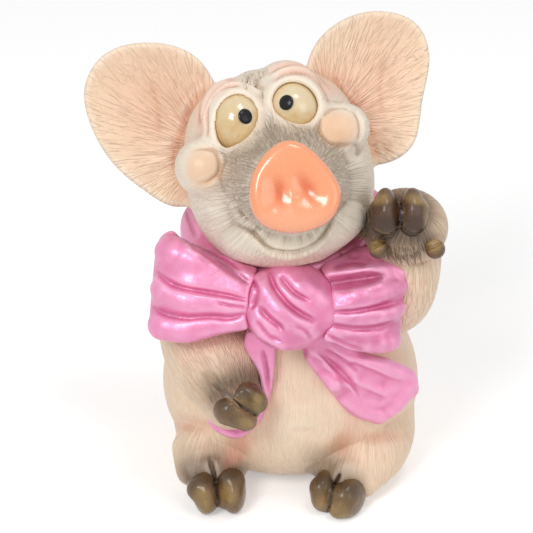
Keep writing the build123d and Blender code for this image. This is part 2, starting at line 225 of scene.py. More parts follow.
def joined(a, b, blend):
    if not blend:
        return np.minimum(a, b)
    nearness = np.maximum(blend - np.abs(a - b), 0) / blend
    return np.minimum(a, b) - nearness * nearness * blend / 4


# Skin: a mesh that is carved and painted
class Skin:
    def __init__(self, points, quads, keepAll):
        self.points, self.quads = points, quads
        edges = np.concatenate([quads[:, [0, 1]], quads[:, [1, 2]], quads[:, [2, 3]], quads[:, [3, 0]]])
        self.ends = np.unique(np.sort(edges, 1), axis=0)
        self.count = np.bincount(self.ends.ravel(), minlength=len(points))
        if not keepAll:
            self.keepLargest()
        self.relax(2)

    def keepLargest(self):
        # Labels spread along the edges until each shell has one
        label = np.arange(len(self.points))
        a, b = self.ends.T
        while True:
            low = np.minimum(label[a], label[b])
            fresh = label.copy()
            np.minimum.at(fresh, a, low)
            np.minimum.at(fresh, b, low)
            fresh = fresh[fresh]
            if (fresh == label).all():
                break
            label = fresh
        names, sizes = np.unique(label, return_counts=True)
        keep = label == names[sizes.argmax()]
        if keep.all():
            return
        number = np.cumsum(keep) - 1
        self.points = self.points[keep]
        self.quads = number[self.quads[keep[self.quads[:, 0]]]]
        self.ends = number[self.ends[keep[self.ends[:, 0]]]]
        self.count = np.bincount(self.ends.ravel(), minlength=len(self.points))

    def spread(self, values, passes, share=0.6):
        values = np.array(values, float)
        flat = values.reshape(len(values), -1)
        a, b = self.ends.T
        for _ in range(passes):
            for column in range(flat.shape[1]):
                line = flat[:, column]
                total = np.bincount(a, line[b], len(line)) + np.bincount(b, line[a], len(line))
                flat[:, column] = line + share * (total / self.count - line)
        return flat.reshape(values.shape)

    def relax(self, passes):
        for _ in range(passes):
            self.points = self.spread(self.spread(self.points, 1, 0.5), 1, -0.52)

    def normals(self):
        p, q = self.points, self.quads
        faces = np.cross(p[q[:, 2]] - p[q[:, 0]], p[q[:, 3]] - p[q[:, 1]])
        out = np.zeros_like(p)
        for corner in range(4):
            for axis in range(3):
                out[:, axis] += np.bincount(q[:, corner], faces[:, axis], len(p))
        return out / np.maximum(np.linalg.norm(out, axis=1, keepdims=True), 1e-12)

    def hollows(self, passes):
        # How far each point lies under its smoothed neighbours, in millimetres
        return ((self.spread(self.points, passes) - self.points) * self.normals()).sum(1)

    def facing(self, low=0.05, high=0.45):
        return smooth(low, high, self.normals() @ viewBack)

    def carve(self, strokes):
        # Each stroke: depth in mm (minus raises), half width in picture points, a line of the picture
        spots = toPicture(self.points)
        move = np.zeros(len(spots))
        for depth, width, line in strokes:
            line = curve(line) if isinstance(line, list) else line
            near = ((spots > line.min(0) - 4 * width) & (spots < line.max(0) + 4 * width)).all(1)
            index = np.where(near)[0]
            gap, along = lineGap(spots[index], line)
            taper = np.clip(np.minimum(along, 1 - along) * 5, 0, 1) ** 0.7 * 0.85 + 0.15
            move[index] -= depth * taper * np.exp(-(gap / width) ** 2)
        self.points = self.points + self.normals() * (move * self.facing())[:, None]


def smooth(low, high, value):
    t = np.clip((value - low) / (high - low), 0, 1)
    return t * t * (3 - 2 * t)


def lineGap(spots, line):
    # Distance to a line of picture points, and how far along it that is, from 0 to 1
    lengths = np.linalg.norm(np.diff(line, axis=0), axis=1)
    starts = np.concatenate([[0], np.cumsum(lengths)])
    best = np.full(len(spots), 1e9)
    along = np.zeros(len(spots))
    for index, (a, b) in enumerate(zip(line[:-1], line[1:])):
        way = b - a
        t = np.clip(((spots - a) @ way) / max(way @ way, 1e-9), 0, 1)
        gap = np.linalg.norm(spots - a - t[:, None] * way, axis=1)
        closer = gap < best
        best[closer] = gap[closer]
        along[closer] = (starts[index] + t[closer] * lengths[index]) / starts[-1]
    return best, along


def curve(points, steps=8, closed=False):
    # A rounded line through a few points
    points = np.array(points, float)
    count = len(points)
    pick = (lambda i: points[i % count]) if closed else (lambda i: points[min(max(i, 0), count - 1)])
    out = []
    for i in range(count if closed else count - 1):
        a, b, c, d = (pick(i + k) for k in (-1, 0, 1, 2))
        for t in np.arange(steps) / steps:
            out.append(0.5 * (2 * b + (c - a) * t + (2 * a - 5 * b + 4 * c - d) * t ** 2
                              + (3 * b - a - 3 * c + d) * t ** 3))
    if not closed:
        out.append(points[-1])
    return np.array(out)


# Paint
def paintColor(red, green, blue):
    # Written as 0 to 255, stored as light
    values = np.array([red, green, blue], float) / 255
    return np.where(values <= 0.04045, values / 12.92, ((values + 0.055) / 1.055) ** 2.4)


paints = {name: paintColor(*values) for name, values in {
    "cream": (247, 220, 190), "litCream": (250, 229, 203), "earCream": (250, 222, 192),
    "peach": (240, 192, 164), "blush": (228, 150, 124), "rust": (196, 132, 92),
    "chalk": (240, 228, 210), "greige": (206, 188, 168), "taupe": (158, 138, 116),
    "olive": (216, 208, 180), "lidPale": (246, 230, 210), "lidPink": (246, 210, 192),
    "cheek": (238, 194, 156), "sclera": (230, 208, 168), "amber": (206, 160, 84),
    "brown": (104, 78, 50), "hoof": (124, 94, 54), "pad": (84, 54, 34),
    "umber": (40, 30, 22), "gold": (178, 146, 88), "bow": (232, 132, 178),
    "bowDark": (128, 56, 84), "bowShade": (206, 106, 150), "bowPale": (250, 168, 204),
    "snout": (250, 160, 112), "snoutPale": (250, 178, 138), "nostrilShade": (222, 100, 52),
}.items()}


def patch(spots, centre, radii, turn=0.0, soft=0.5):
    # 1 inside an oval of the picture, fading out over the soft share of its radius
    away = spots - np.array(centre, float)
    c, s = cos(radians(turn)), sin(radians(turn))
    x, y = away[:, 0] * c + away[:, 1] * s, -away[:, 0] * s + away[:, 1] * c
    return 1 - smooth(1 - soft, 1 + soft, np.sqrt((x / radii[0]) ** 2 + (y / radii[1]) ** 2))


def along(spots, line, width):
    # 1 on a line of the picture, fading out to its sides
    return np.exp(-(lineGap(spots, np.array(line, float))[0] / width) ** 2)


def primed(spots, color):
    return np.tile(paints[color], (len(spots), 1))


def coat(base, color, mask):
    return base + (paints[color] - base) * np.clip(mask, 0, 1)[:, None]


def washed(paint, spots, washes, soft, mask=1.0):
    # Ovals of the picture, each with its paint, centre, radii, turn and strength
    for name, centre, radii, turn, strength in washes:
        paint = coat(paint, name, patch(spots, centre, radii, turn, soft) * strength * mask)
    return paint


def lined(paint, color, spots, lines, width, strength, mask=1.0):
    for line in lines:
        paint = coat(paint, color, along(spots, line, width) * strength * mask)
    return paint


def dressPoints(mesh, paint, hollow, flow=None, furry=1.0):
    # Paint, hollows, fur direction and how furry it is ride on the points
    count = len(paint)
    layers = [("paint", "FLOAT_COLOR", "color", np.c_[paint, np.ones(count)]),
              ("hollow", "FLOAT", "value", hollow)]
    if flow is not None:
        layers += [("fur", "FLOAT_VECTOR", "vector", flow),
                   ("furry", "FLOAT", "value", np.full(count, furry))]
    for name, kind, field, values in layers:
        data = mesh.attributes.new(name, kind, "POINT").data
        data.foreach_set(field, values.astype(np.float32).ravel())


def placePiece(name, mesh, nodes):
    piece = bpy.data.objects.new(name, mesh)
    bpy.context.collection.objects.link(piece)
    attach(piece, "root")
    if nodes:
        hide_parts(*nodes)
    print("made", name, len(mesh.polygons), "faces")


def finishPiece(name, skin, paint, material, node, flow=None, furry=1.0):
    mesh = bpy.data.meshes.new(name)
    mesh.vertices.add(len(skin.points))
    mesh.vertices.foreach_set("co", (skin.points / 1000).astype(np.float32).ravel())
    mesh.loops.add(len(skin.quads) * 4)
    mesh.loops.foreach_set("vertex_index", skin.quads.astype(np.int32).ravel())
    mesh.polygons.add(len(skin.quads))
    mesh.polygons.foreach_set("loop_start", np.arange(0, len(skin.quads) * 4, 4, dtype=np.int32))
    mesh.update(calc_edges=True)
    mesh.validate()
    mesh.shade_smooth()
    hollow = np.clip(skin.hollows(8) * 5 + skin.hollows(30) * 1.2, -1, 1)
    dressPoints(mesh, paint, hollow, flow, furry)
    mesh.materials.append(material)
    placePiece(name, mesh, [node])


def nodeClay(node, grain, spare=0.8):
    # A clay that holds the node, with spare millimetres round it
    low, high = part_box(node)
    clay = Clay(np.array(low) * 1000 - spare, np.array(high) * 1000 + spare, grain)
    clay.form = clay.fromNode(node)
    return clay


def camelName(node, ending):
    first, *others = node.split("_")
    return first + "".join(word.capitalize() for word in others) + ending


def rayFlow(points, centre, axis, pitchRadius, stretch):
    # Strokes run out from an axis through the centre and along it: those distances are shortened
    axis = np.array(axis, float) / np.linalg.norm(axis)
    away = points - np.array(centre, float)
    depth = away @ axis
    flat = away - np.outer(depth, axis)
    reach = np.linalg.norm(flat, axis=1, keepdims=True)
    return flat / np.maximum(reach, 0.5) * pitchRadius + np.outer((reach[:, 0] + depth) * stretch, axis)


# Shader helpers
def newGroup(name, inputs, outputs, kind="ShaderNodeTree"):
    # Each input: its kind, or the number it starts at
    tree = bpy.data.node_groups.new(name, kind)
    for label, value in inputs.items():
        numbers = {float: "Float", int: "Int"}
        socket = tree.interface.new_socket(
            label, in_out="INPUT", socket_type="NodeSocket" + numbers.get(type(value), str(value)))
        if type(value) in numbers:
            socket.default_value = value
    for label, value in outputs.items():
        tree.interface.new_socket(label, in_out="OUTPUT", socket_type="NodeSocket" + value)
    return tree, tree.nodes.new("NodeGroupInput"), tree.nodes.new("NodeGroupOutput")


def wire(tree, node, values):
    # Sets each socket to a value or links it to another node's output
    for key, value in values.items():
        socket = node.inputs[key]
        if isinstance(value, bpy.types.NodeSocket):
            tree.links.new(value, socket)
        else:
            socket.default_value = value
    return node


def mathNode(tree, operation, a, b=0.0, clamp=False):
    node = tree.nodes.new("ShaderNodeMath")
    node.operation, node.use_clamp = operation, clamp
    return wire(tree, node, {0: a, 1: b}).outputs[0]


def noise(tree, vector, scale, detail=2.0, rough=0.5, distortion=0.0):
    node = tree.nodes.new("ShaderNodeTexNoise")
    wire(tree, node, {"Vector": vector, "Scale": scale, "Detail": detail, "Roughness": rough,
                      "Distortion": distortion})
    return node.outputs["Fac"]


def times(tree, a, b):
    return mathNode(tree, "MULTIPLY", a, b)


def remap(tree, value, fromLow, fromHigh, toLow=0.0, toHigh=1.0):
    node = tree.nodes.new("ShaderNodeMapRange")
    node.interpolation_type = "SMOOTHSTEP"
    return wire(tree, node, {0: value, 1: fromLow, 2: fromHigh, 3: toLow, 4: toHigh}).outputs[0]


def mixColor(tree, factor, a, b, mode="MIX"):
    node = tree.nodes.new("ShaderNodeMix")
    node.data_type, node.blend_type = "RGBA", mode
    wire(tree, node, {0: factor, 6: a, 7: b})
    return node.outputs[2]


def attribute(tree, name, output):
    node = tree.nodes.new("ShaderNodeAttribute")
    node.attribute_name = name
    return node.outputs[output]


def buildFurStrokes():
    # Short carved strokes: rounded ridges with narrow grooves between, broken up along the flow
    tree, give, take = newGroup("furStrokes", {"Flow": "Vector", "Pitch": 0.6, "Wobble": 0.4, "Amount": 1.0},
                                {"Height": "Float", "Groove": "Float"})
    flow, amount = give.outputs["Flow"], give.outputs["Amount"]
    scale = mathNode(tree, "DIVIDE", 1.0, give.outputs["Pitch"])
    fine = noise(tree, flow, scale, 1.0, 0.5, give.outputs["Wobble"])
    coarse = noise(tree, flow, times(tree, scale, 0.5), 1.0, 0.5)
    away = mathNode(tree, "ABSOLUTE", mathNode(tree, "SUBTRACT", fine, 0.5))
    ridge = times(tree, remap(tree, away, 0.0, 0.13), 0.6)
    height = mathNode(tree, "ADD", ridge, times(tree, remap(tree, coarse, 0.3, 0.7), 0.4))
    broken = remap(tree, coarse, 0.35, 0.6, 1.0, 0.35)
    groove = times(tree, remap(tree, away, 0.07, 0.0), broken)
    tree.links.new(times(tree, height, amount), take.inputs["Height"])
    tree.links.new(times(tree, groove, amount), take.inputs["Groove"])
    return tree


def buildMottle():
    # Uneven hand painting, in two sizes
    tree, give, take = newGroup("brushMottle", {"Vector": "Vector", "Size": 6.0},
                                {"Broad": "Float", "Fine": "Float"})
    scale = mathNode(tree, "DIVIDE", 1.0, give.outputs["Size"])
    broad = noise(tree, give.outputs["Vector"], scale, 3.0, 0.55, 0.3)
    fine = noise(tree, give.outputs["Vector"], times(tree, scale, 14.0), 2.0, 0.6)
    tree.links.new(remap(tree, broad, 0.32, 0.68), take.inputs["Broad"])
    tree.links.new(remap(tree, fine, 0.35, 0.65), take.inputs["Fine"])
    return tree


furStrokes = buildFurStrokes()
brushMottle = buildMottle()


def useGroup(tree, group, values):
    node = tree.nodes.new("ShaderNodeGroup")
    node.node_tree = group
    return wire(tree, node, values)


def startMaterial(name, mottleSize):
    material = bpy.data.materials.new(name)
    material.use_nodes = True
    tree = material.node_tree
    scaled = tree.nodes.new("ShaderNodeVectorMath")
    scaled.operation = "SCALE"
    spot = tree.nodes.new("ShaderNodeTexCoord").outputs["Object"]
    wire(tree, scaled, {0: spot, "Scale": 1000.0})   # millimetres
    mottle = useGroup(tree, brushMottle, {"Vector": scaled.outputs[0], "Size": mottleSize})
    return material, tree, scaled.outputs[0], mottle.outputs["Broad"], mottle.outputs["Fine"]


def endMaterial(material, base, height, roughness, finish, strength=1.0):
    tree = material.node_tree
    bump = tree.nodes.new("ShaderNodeBump")
    wire(tree, bump, {"Strength": strength, "Distance": 0.001, "Height": height})
    wire(tree, tree.nodes["Principled BSDF"], {
        "Base Color": base, "Roughness": roughness, "Normal": bump.outputs[0], **finish})
    return material


def tinted(tree, base, mask, strength, color):
    # The base, shifted toward a colour where the mask is high
    return mixColor(tree, times(tree, mask, strength), base, (*color, 1))


def paintedSkin(name, look):
    # Satin paint over carved fur, with painted shade darkening the grooves and hollows and a painted
    # highlight lightening the raised parts
    material, tree, spot, broad, fine = startMaterial(name, look["mottleSize"])
    strokes = useGroup(tree, furStrokes, {
        "Flow": attribute(tree, "fur", "Vector"), "Pitch": look["pitch"], "Wobble": look["wobble"],
        "Amount": attribute(tree, "furry", "Fac")})
    hollow = attribute(tree, "hollow", "Fac")
    base = tinted(tree, attribute(tree, "paint", "Color"), broad, look["mottle"], look["mottleColor"])
    # painted shade: the strokes' grooves and the hollows are darkened toward a brown
    wash = mathNode(tree, "ADD", times(tree, strokes.outputs["Groove"], look["groove"]),
                    times(tree, remap(tree, hollow, 0.05, 0.9), look["hollow"]), clamp=True)
    base = mixColor(tree, wash, base, mixColor(tree, 1.0, base, (*look["hollowShadeColor"], 1), "MULTIPLY"))
    # painted highlight: raised parts are lightened toward a pale cream
    base = tinted(tree, base, remap(tree, hollow, -0.1, -0.8), look["rub"], look["ridgeHighlightColor"])
    height = mathNode(tree, "ADD", times(tree, strokes.outputs["Height"], look["depth"]),
                      times(tree, fine, look["depth"] * 0.15))
    roughness = remap(tree, fine, 0.0, 1.0, look["roughness"] - 0.06, look["roughness"] + 0.08)
    return endMaterial(material, base, height, roughness,
                       {"Coat Weight": look["gloss"], "Coat Roughness": 0.3})


# groove, hollow and the brown colour: painted shade in the strokes' grooves and in hollows; the pale colour
# after them: painted highlight on raised parts
coatLook = {
    "pitch": 0.6, "wobble": 0.3, "depth": 0.18, "groove": 0.4, "hollow": 0.34,
    "mottle": 0.14, "mottleSize": 9.0, "mottleColor": paintColor(242, 204, 172),
    "hollowShadeColor": paintColor(216, 168, 136), "rub": 0.3, "ridgeHighlightColor": paintColor(253, 240, 220),
    "roughness": 0.44, "gloss": 0.14,
}
faceLook = coatLook | {
    "pitch": 0.46, "wobble": 1.0, "depth": 0.22, "groove": 0.55, "hollow": 0.5, "mottle": 0.12,
    "hollowShadeColor": paintColor(184, 160, 136), "mottleColor": paintColor(234, 214, 194),
}
earLook = coatLook | {
    "pitch": 0.62, "wobble": 0.5, "depth": 0.20, "groove": 0.10,
    "hollowShadeColor": paintColor(214, 168, 134), "mottleColor": paintColor(244, 200, 170),
}
glazes = {
    # tints: mask or range of hollow, strength, colour; bump: mask, height in mm
    "hoofLacquer": {
        "mottleSize": 3.0, "bump": [("fine", 0.03)], "roughness": ("broad", 0.15, 0.32),
        # the first tint is uneven colour; the second, paler and golden on raised parts, is a painted
        # highlight
        "tints": [("broad", 0.4, (66, 48, 28)), ((-0.25, -0.9), 0.5, (166, 134, 78))],
        "finish": {"Specular IOR Level": 0.35, "Coat Weight": 0.3, "Coat Roughness": 0.06},
    },
    "pearlBow": {
        "mottleSize": 4.0, "flakeScale": 3.2, "bump": [("flakes", 0.008), ("broad", 0.08)],
        "roughness": ("fine", 0.32, 0.44),
        # darker in hollows as painted shade, paler on raised parts as painted highlight, and pale flecks as
        # painted glints
        "tints": [((0.0, 0.8), 0.55, (196, 84, 130)), ((0.0, -0.8), 0.55, (253, 192, 222)),
                  ("broad", 0.18, (253, 192, 222)), ("flakeGlint", 0.16, (253, 192, 222))],
        "finish": {"Metallic": 0.3, "Coat Weight": 0.22, "Coat Roughness": 0.26},
    },
    "snoutGloss": {
        "mottleSize": 5.0, "bump": [("broad", 0.05)], "roughness": ("fine", 0.2, 0.3),
        # the second tint darkens the hollows toward a deep orange: painted shade
        "tints": [("broad", 0.25, (248, 172, 134)), ((0.05, 0.9), 0.5, (214, 96, 56))],
        "finish": {"Coat Weight": 0.7, "Coat Roughness": 0.12},
    },
    "eyeIvory": {
        "mottleSize": 2.5, "bump": [("broad", 0.04)], "roughness": ("fine", 0.12, 0.2),
        "tints": [("broad", 0.3, (238, 226, 188))],
        "finish": {"Coat Weight": 0.9, "Coat Roughness": 0.05},
    },
}


def glaze(name, look):
    # Glossy paint over the piece's own paint
    material, tree, spot, broad, fine = startMaterial(name, look["mottleSize"])
    masks = {"broad": broad, "fine": fine}
    if "flakeScale" in look:
        masks["flakes"] = noise(tree, spot, look["flakeScale"], 2.0, 0.5)
        # the brightest flakes turn pale: painted glints
        masks["flakeGlint"] = remap(tree, masks["flakes"], 0.5, 0.75)
    hollow = attribute(tree, "hollow", "Fac")
    base = attribute(tree, "paint", "Color")
    for mask, strength, color in look["tints"]:
        source = masks[mask] if mask in masks else remap(tree, hollow, *mask)
        base = tinted(tree, base, source, strength, paintColor(*color))
    height = 0.0
    for mask, depth in look["bump"]:
        height = mathNode(tree, "ADD", height, times(tree, masks[mask], depth))
    source, *ends = look["roughness"]
    roughness = remap(tree, masks[source], 0.0, 1.0, *ends)
    return endMaterial(material, base, height, roughness, look["finish"])


def pupilMaterial():
    material, tree, spot, broad, fine = startMaterial("pupilBlack", 1.0)
    base = mixColor(tree, broad, (0.004, 0.004, 0.006, 1), (0.012, 0.012, 0.018, 1))
    return endMaterial(material, base, times(tree, fine, 0.01), remap(tree, fine, 0.0, 1.0, 0.08, 0.14),
                       {"Specular IOR Level": 0.22, "Coat Weight": 0.1}, 0.4)


def feltMaterial():
    material, tree, spot, broad, fine = startMaterial("greenFelt", 4.0)
    fibres = noise(tree, spot, 3.5, 4.0, 0.7, 1.2)
    base = mixColor(tree, remap(tree, fibres, 0.3, 0.7), (*paintColor(46, 62, 48), 1),
                    (*paintColor(84, 102, 82), 1))
    return endMaterial(material, base, times(tree, fibres, 0.2), remap(tree, fine, 0.0, 1.0, 0.88, 1.0),
                       {"Sheen Weight": 0.4})


furCoat, faceSkin = paintedSkin("furCoat", coatLook), paintedSkin("faceSkin", faceLook)
earSkin = paintedSkin("earSkin", earLook)
hoofLacquer, pearlBow, snoutGloss, eyeIvory = (glaze(name, look) for name, look in glazes.items())
pupilBlack, greenFelt = pupilMaterial(), feltMaterial()
print("materials made")


# Head
eyes = {
    "right": {
        "node": "right_eyeball",
        "opening": [(-5.3, 12.0), (-3.3, 10.5), (-2.7, 8.0), (-4.0, 5.5), (-6.6, 3.7), (-9.2, 2.6),
                    (-10.6, 4.0), (-10.7, 6.9), (-9.3, 10.0), (-7.2, 11.7)],
    },
    "left": {
        "node": "left_eyeball",
        "opening": [(4.7, 12.4), (7.0, 11.5), (8.5, 9.7), (9.0, 7.1), (7.7, 4.9), (5.5, 4.2), (2.9, 5.4),
                    (1.0, 7.3), (0.7, 9.8), (2.3, 11.8)],
    },
}
headSizes = {
    "grain": 0.34, "soften": 3, "lidRadius": 1.0, "lidReach": 12.5, "mouthRadius": 1.9, "mouthLift": 0.7,
    # ends in the head's own frame, radii and blend
    "muzzle": ((0.3, -5.6, 4.0), (0.3, -6.8, 13.2), (12.0, 8.8), 3.0),
    "cheekRadius": 4.3,
    # picture centre, lift, shares of the cheek's radius
    "cheeks": [((203, 167), -3.7, (1.2, 1.2, 1.2)), ((336, 129), -2.9, (1.0, 1.0, 0.95))],
    "crest": ((-1.6, 14.2, 4.0), (3.6, 2.4, 4.0)),
    "pitchRadius": 13.0, "stretch": 0.27,
}
mouthLine = curve([(230, 196), (236, 212), (247, 226), (262, 238), (280, 244), (302, 243), (319, 234),
                   (332, 218), (341, 200)], 4)
lipLine = curve([(240, 226), (251, 231), (259, 238), (268, 247), (281, 252), (296, 252.5), (309, 248),
                 (319, 240), (328, 228), (336, 214), (344, 202)], 5)
faceCreases = [
    # folds over each eye, then the outline of each brow
    (0.85, 1.6, [(207, 136), (206, 118), (208, 102), (216, 91), (226, 86), (240, 85)]),
    (0.60, 1.5, [(200, 124), (199, 108), (203, 94), (211, 84), (221, 79), (236, 81)]),
    (0.85, 1.6, [(273, 81), (283, 74), (298, 72), (312, 77), (322, 88), (328, 101)]),
    (0.60, 1.5, [(268, 74), (280, 67), (294, 64), (308, 67), (320, 76), (330, 88)]),
    (-0.35, 2.4, [(203, 128), (202, 110), (206, 97), (213, 87), (224, 81), (238, 82)]),
    (-0.35, 2.4, [(271, 77), (282, 70), (296, 67), (310, 71), (322, 81)]),
    # round the cheeks
    (0.55, 2.0, [(190, 151), (201, 148), (213, 150), (219, 158), (219, 172), (210, 181), (199, 184)]),
    (0.30, 1.8, [(219, 150), (225, 158), (221, 172), (218, 182)]),
    (0.50, 2.0, [(321, 118), (320, 130), (328, 140), (340, 145), (352, 145)]),
    (0.40, 1.6, [(323, 116), (332, 109), (344, 107), (352, 111)]),
    (0.28, 1.4, [(322, 98), (330, 99), (340, 103)]),
    (0.60, 2.4, [(352, 108), (359, 118), (361, 132), (357, 146)]),
    # dimple beside the right cheek
    (0.40, 2.6, [(352, 146), (358, 148), (358, 157)]),
    # edge of the muzzle and the smile
    (0.25, 2.4, [(222, 162), (220, 180), (229, 200), (241, 213), (252, 221)]),
    (0.80, 1.9, lipLine),
    (-0.45, 3.0, lipLine + (0, 5.5)),
    (-0.35, 5.0, [(206, 192), (206, 204), (214, 218)]),
]
faceWashes = [
    ("greige", (286, 170), (66, 60), -14, 0.9, 0.22), ("taupe", (266, 142), (32, 34), -15, 0.4, 0.6),
    # the olive band along the smile is painted shade under the muzzle
    ("olive", (290, 243), (38, 8), 0, 0.35, 0.7),
]
lidWashes = [
    ("lidPink", (216, 84), (26, 11), -30, 0.9), ("lidPink", (298, 66), (32, 10), 6, 0.9),
    ("lidPink", (202, 112), (6, 24), 6, 0.9), ("lidPink", (326, 84), (8, 18), -40, 0.9),
]
cheekWashes = [("cheek", (204, 168), (18, 20), 0, 0.9), ("cheek", (339, 128), (20, 17), 0, 0.9)]
# pink and pale cream lighten the chin, which lies in shade under the snout: painted light
chinWashes = [("lidPink", (286, 262), (44, 9), 0, 0.4), ("litCream", (284, 266), (56, 12), 0, 0.6)]
faceFlecks = [[(284, 119), (288, 123)], [(291, 124), (297, 129)], [(300, 128), (304, 133)],
              [(309, 130), (312, 137)], [(316, 133), (318, 141)], [(304, 137), (309, 143)],
              [(322, 140), (326, 148)], [(296, 134), (300, 139)], [(262, 92), (263, 98)],
              [(244, 84), (246, 89)], [(254, 80), (255, 86)]]
# where no strokes are cut: the cheeks, the lids and beside the right cheek
bareSpots = [((203, 166), (19, 20)), ((340, 128), (21, 17)), ((234, 112), (38, 34)), ((297, 92), (36, 36)),
             ((354, 150), (10, 12))]


def openingGap(clay, outline):
    # Signed distance to an eye's outline seen straight at the face, and how far forward each spot is
    x, y, z = clay.x - headMiddle[0], clay.y - headMiddle[1], clay.z - headMiddle[2]
    h, k, f = (x * headTurn[0][i] + y * headTurn[1][i] + z * headTurn[2][i] for i in range(3))
    best = np.full(clay.size, 1e3, np.float32)
    inside = np.zeros(clay.size, bool)
    for (ax, ay), (bx, by) in zip(outline, np.roll(outline, -1, 0)):
        wx, wy = bx - ax, by - ay
        t = np.clip(((h - ax) * wx + (k - ay) * wy) / (wx * wx + wy * wy), 0, 1)
        best = np.minimum(best, np.hypot(h - ax - t * wx, k - ay - t * wy))
        inside ^= ((ay > k) != (by > k)) & (h < (bx - ax) * (k - ay) / (by - ay + 1e-9) + ax)
    return np.where(inside, -best, best), f


def makeHead():
    size = headSizes
    clay = nodeClay("head", size["grain"])
    # The socket and the peg holes are closed; the torso and the ears fill them
    clay.add(np.maximum(clay.fromNode("torso"), 53.0 - clay.z))
    for side in (-1, 1):
        clay.add(clay.tube([fromHead(side * 8.5, 7.2, -9), fromHead(side * 16.5, 7.2, -9)], [2.4, 2.2]))
    clay.soften(size["soften"])
    # Muzzle, cheeks and crest
    root, end, radii, blend = size["muzzle"]
    clay.add(clay.tube([fromHead(*root), fromHead(*end)], radii), blend)
    for spot, lift, shares in size["cheeks"]:
        clay.add(clay.ball(clay.onFront([spot], lift)[0], np.array(shares) * size["cheekRadius"]), blend)
    top, radii = size["crest"]
    clay.add(clay.ball(fromHead(*top), radii, headTurn), blend / 2)
    for eye in eyes.values():
        gap, reach = openingGap(clay, curve(eye["opening"], 3, closed=True))
        ring = np.hypot(gap - 0.6, reach - size["lidReach"] + np.maximum(gap, 0) * 0.3) - size["lidRadius"]
        clay.add(ring.astype(np.float32), 0.7)
        hole = np.maximum(gap + 0.15, 9.0 - reach)
        clay.cut(hole.astype(np.float32), 0.5)
        clay.cut(clay.fromNode(eye["node"]) - 0.05)
    mouth = clay.onFront(mouthLine, size["mouthLift"])
    fade = np.sin(np.linspace(0.12, 0.88, len(mouth)) * pi)
    clay.cut(clay.tube(mouth, size["mouthRadius"] * fade), 1.2)
    skin = clay.skin()
    skin.carve(faceCreases)
    skin.points = skin.spread(skin.points, 1, 0.4)
    return clay, skin


def paintHead(skin):
    spots = toPicture(skin.points)
    front = smooth(-6, 6, toHead(skin.points)[:, 2])
    paint = coat(primed(spots, "chalk"), "cream", 1 - front)
    for *wash, soft in faceWashes:
        paint = washed(paint, spots, [wash], soft, front)
    lids = patch(spots, (236, 116), (30, 36), 0, 0.2) + patch(spots, (296, 100), (30, 30), 0, 0.2)
    paint = coat(paint, "lidPale", lids * 0.8 * front)
    paint = washed(paint, spots, lidWashes, 0.5, front)
    paint = lined(paint, "blush", spots, [curve(line) for _, _, line in faceCreases[:4]], 1.8, 0.3, front)
    paint = washed(paint, spots, cheekWashes, 0.35, front)
    paint = lined(paint, "umber", spots, faceFlecks, 0.8, 0.55, skin.facing())
    paint = washed(paint, spots, chinWashes, 0.6, front)
    # a taupe line along the lip's crease: painted shade
    return lined(paint, "taupe", spots, [lipLine], 2.4, 0.35, front)


def furHead(skin):
    # How deep the strokes are cut
    spots = toPicture(skin.points)
    bare = np.max([patch(spots, centre, radii, 0, 0.25) for centre, radii in bareSpots], axis=0)
    crown = patch(spots, (262, 108), (14, 40), -8, 0.4)
    smile = patch(spots, (290, 243), (34, 8), 0, 0.6)
    muzzle = patch(spots, (286, 172), (70, 64), -14, 0.25)
    chin = patch(spots, (286, 262), (60, 12), 0, 0.5)
    front = smooth(-9, 0, toHead(skin.points)[:, 2])
    depth = np.clip(0.38 + muzzle * 0.62 + chin * 0.3 - bare * 0.9 + crown * 0.5, 0.06, 1)
    return depth * (1 - smile * 0.5) * front


headClay, head = makeHead()
finishPiece("headSkin", head, paintHead(head), faceSkin, "head",
            rayFlow(head.points, fromHead(0.3, -7, 0), headTurn[:, 2], headSizes["pitchRadius"],
                    headSizes["stretch"]), furHead(head))


# Eyes and snout
eyeGrain = 0.22
eyeGlows = {"right": ((228, 132), (26, 24), 35), "left": ((304, 118), (22, 7), 10)}


def paintEye(skin, side):
    spots = toPicture(skin.points)
    paint = coat(primed(spots, "sclera"), "amber", patch(spots, *eyeGlows[side], 0.7) * 0.65)
    outline = [fromHead(h, k, 12.0) for h, k in curve(eyes[side]["opening"], 3, True)]
    return coat(paint, "amber", along(spots, toPicture(np.array(outline)), 2.0) * 0.45)


for side, eye in eyes.items():
    skin = nodeClay(eye["node"], eyeGrain).skin()
    finishPiece(side + "EyeBall", skin, paintEye(skin, side), eyeIvory, eye["node"])

snoutSizes = {
    "grain": 0.22, "soften": 6,
    # nostrils: points of the picture and lift; the radius is in mm
    "nostrils": [([(276, 182), (281, 190), (279, 198), (274, 204)], 1.5),
                 ([(303, 177), (304, 186), (309, 193), (317, 198)], 1.4)],
    "nostrilRadius": 2.5,
    "ridge": (-0.4, 5.0, [(290, 178), (292, 190), (296, 200)]),
}
# the deep orange in the two nostril dents is painted shade
snoutWashes = [("nostrilShade", (279, 192), (6, 12), -5, 0.85, 0.9),
               ("nostrilShade", (308, 189), (6, 13), -30, 0.85, 0.9),
               ("snoutPale", (294, 222), (40, 10), 0, 0.5, 0.8)]


def makeSnout():
    size = snoutSizes
    clay = nodeClay("snout", size["grain"])
    # The drilled nostrils are closed, then pressed in as soft dents
    clay.add(clay.ball(clay.onFront([(293, 188)], -1.5)[0], (7.0, 5.0, 1.6), headTurn), 0.5)
    clay.soften(size["soften"])
    for line, lift in size["nostrils"]:
        spots = clay.onFront(curve(line, 4), lift)
        fade = np.sin(np.linspace(0.2, 0.85, len(spots)) * pi)
        clay.cut(clay.tube(spots, size["nostrilRadius"] * fade), 2.2)
    clay.soften(3)
    skin = clay.skin()
    skin.carve([size["ridge"]])
    skin.points = skin.spread(skin.points, 8, 0.5)
    return skin


snout = makeSnout()
spots = toPicture(snout.points)
paint = primed(spots, "snout")
for *wash, soft in snoutWashes:
    paint = washed(paint, spots, [wash], soft)
finishPiece("snoutDisc", snout, paint, snoutGloss, "snout")


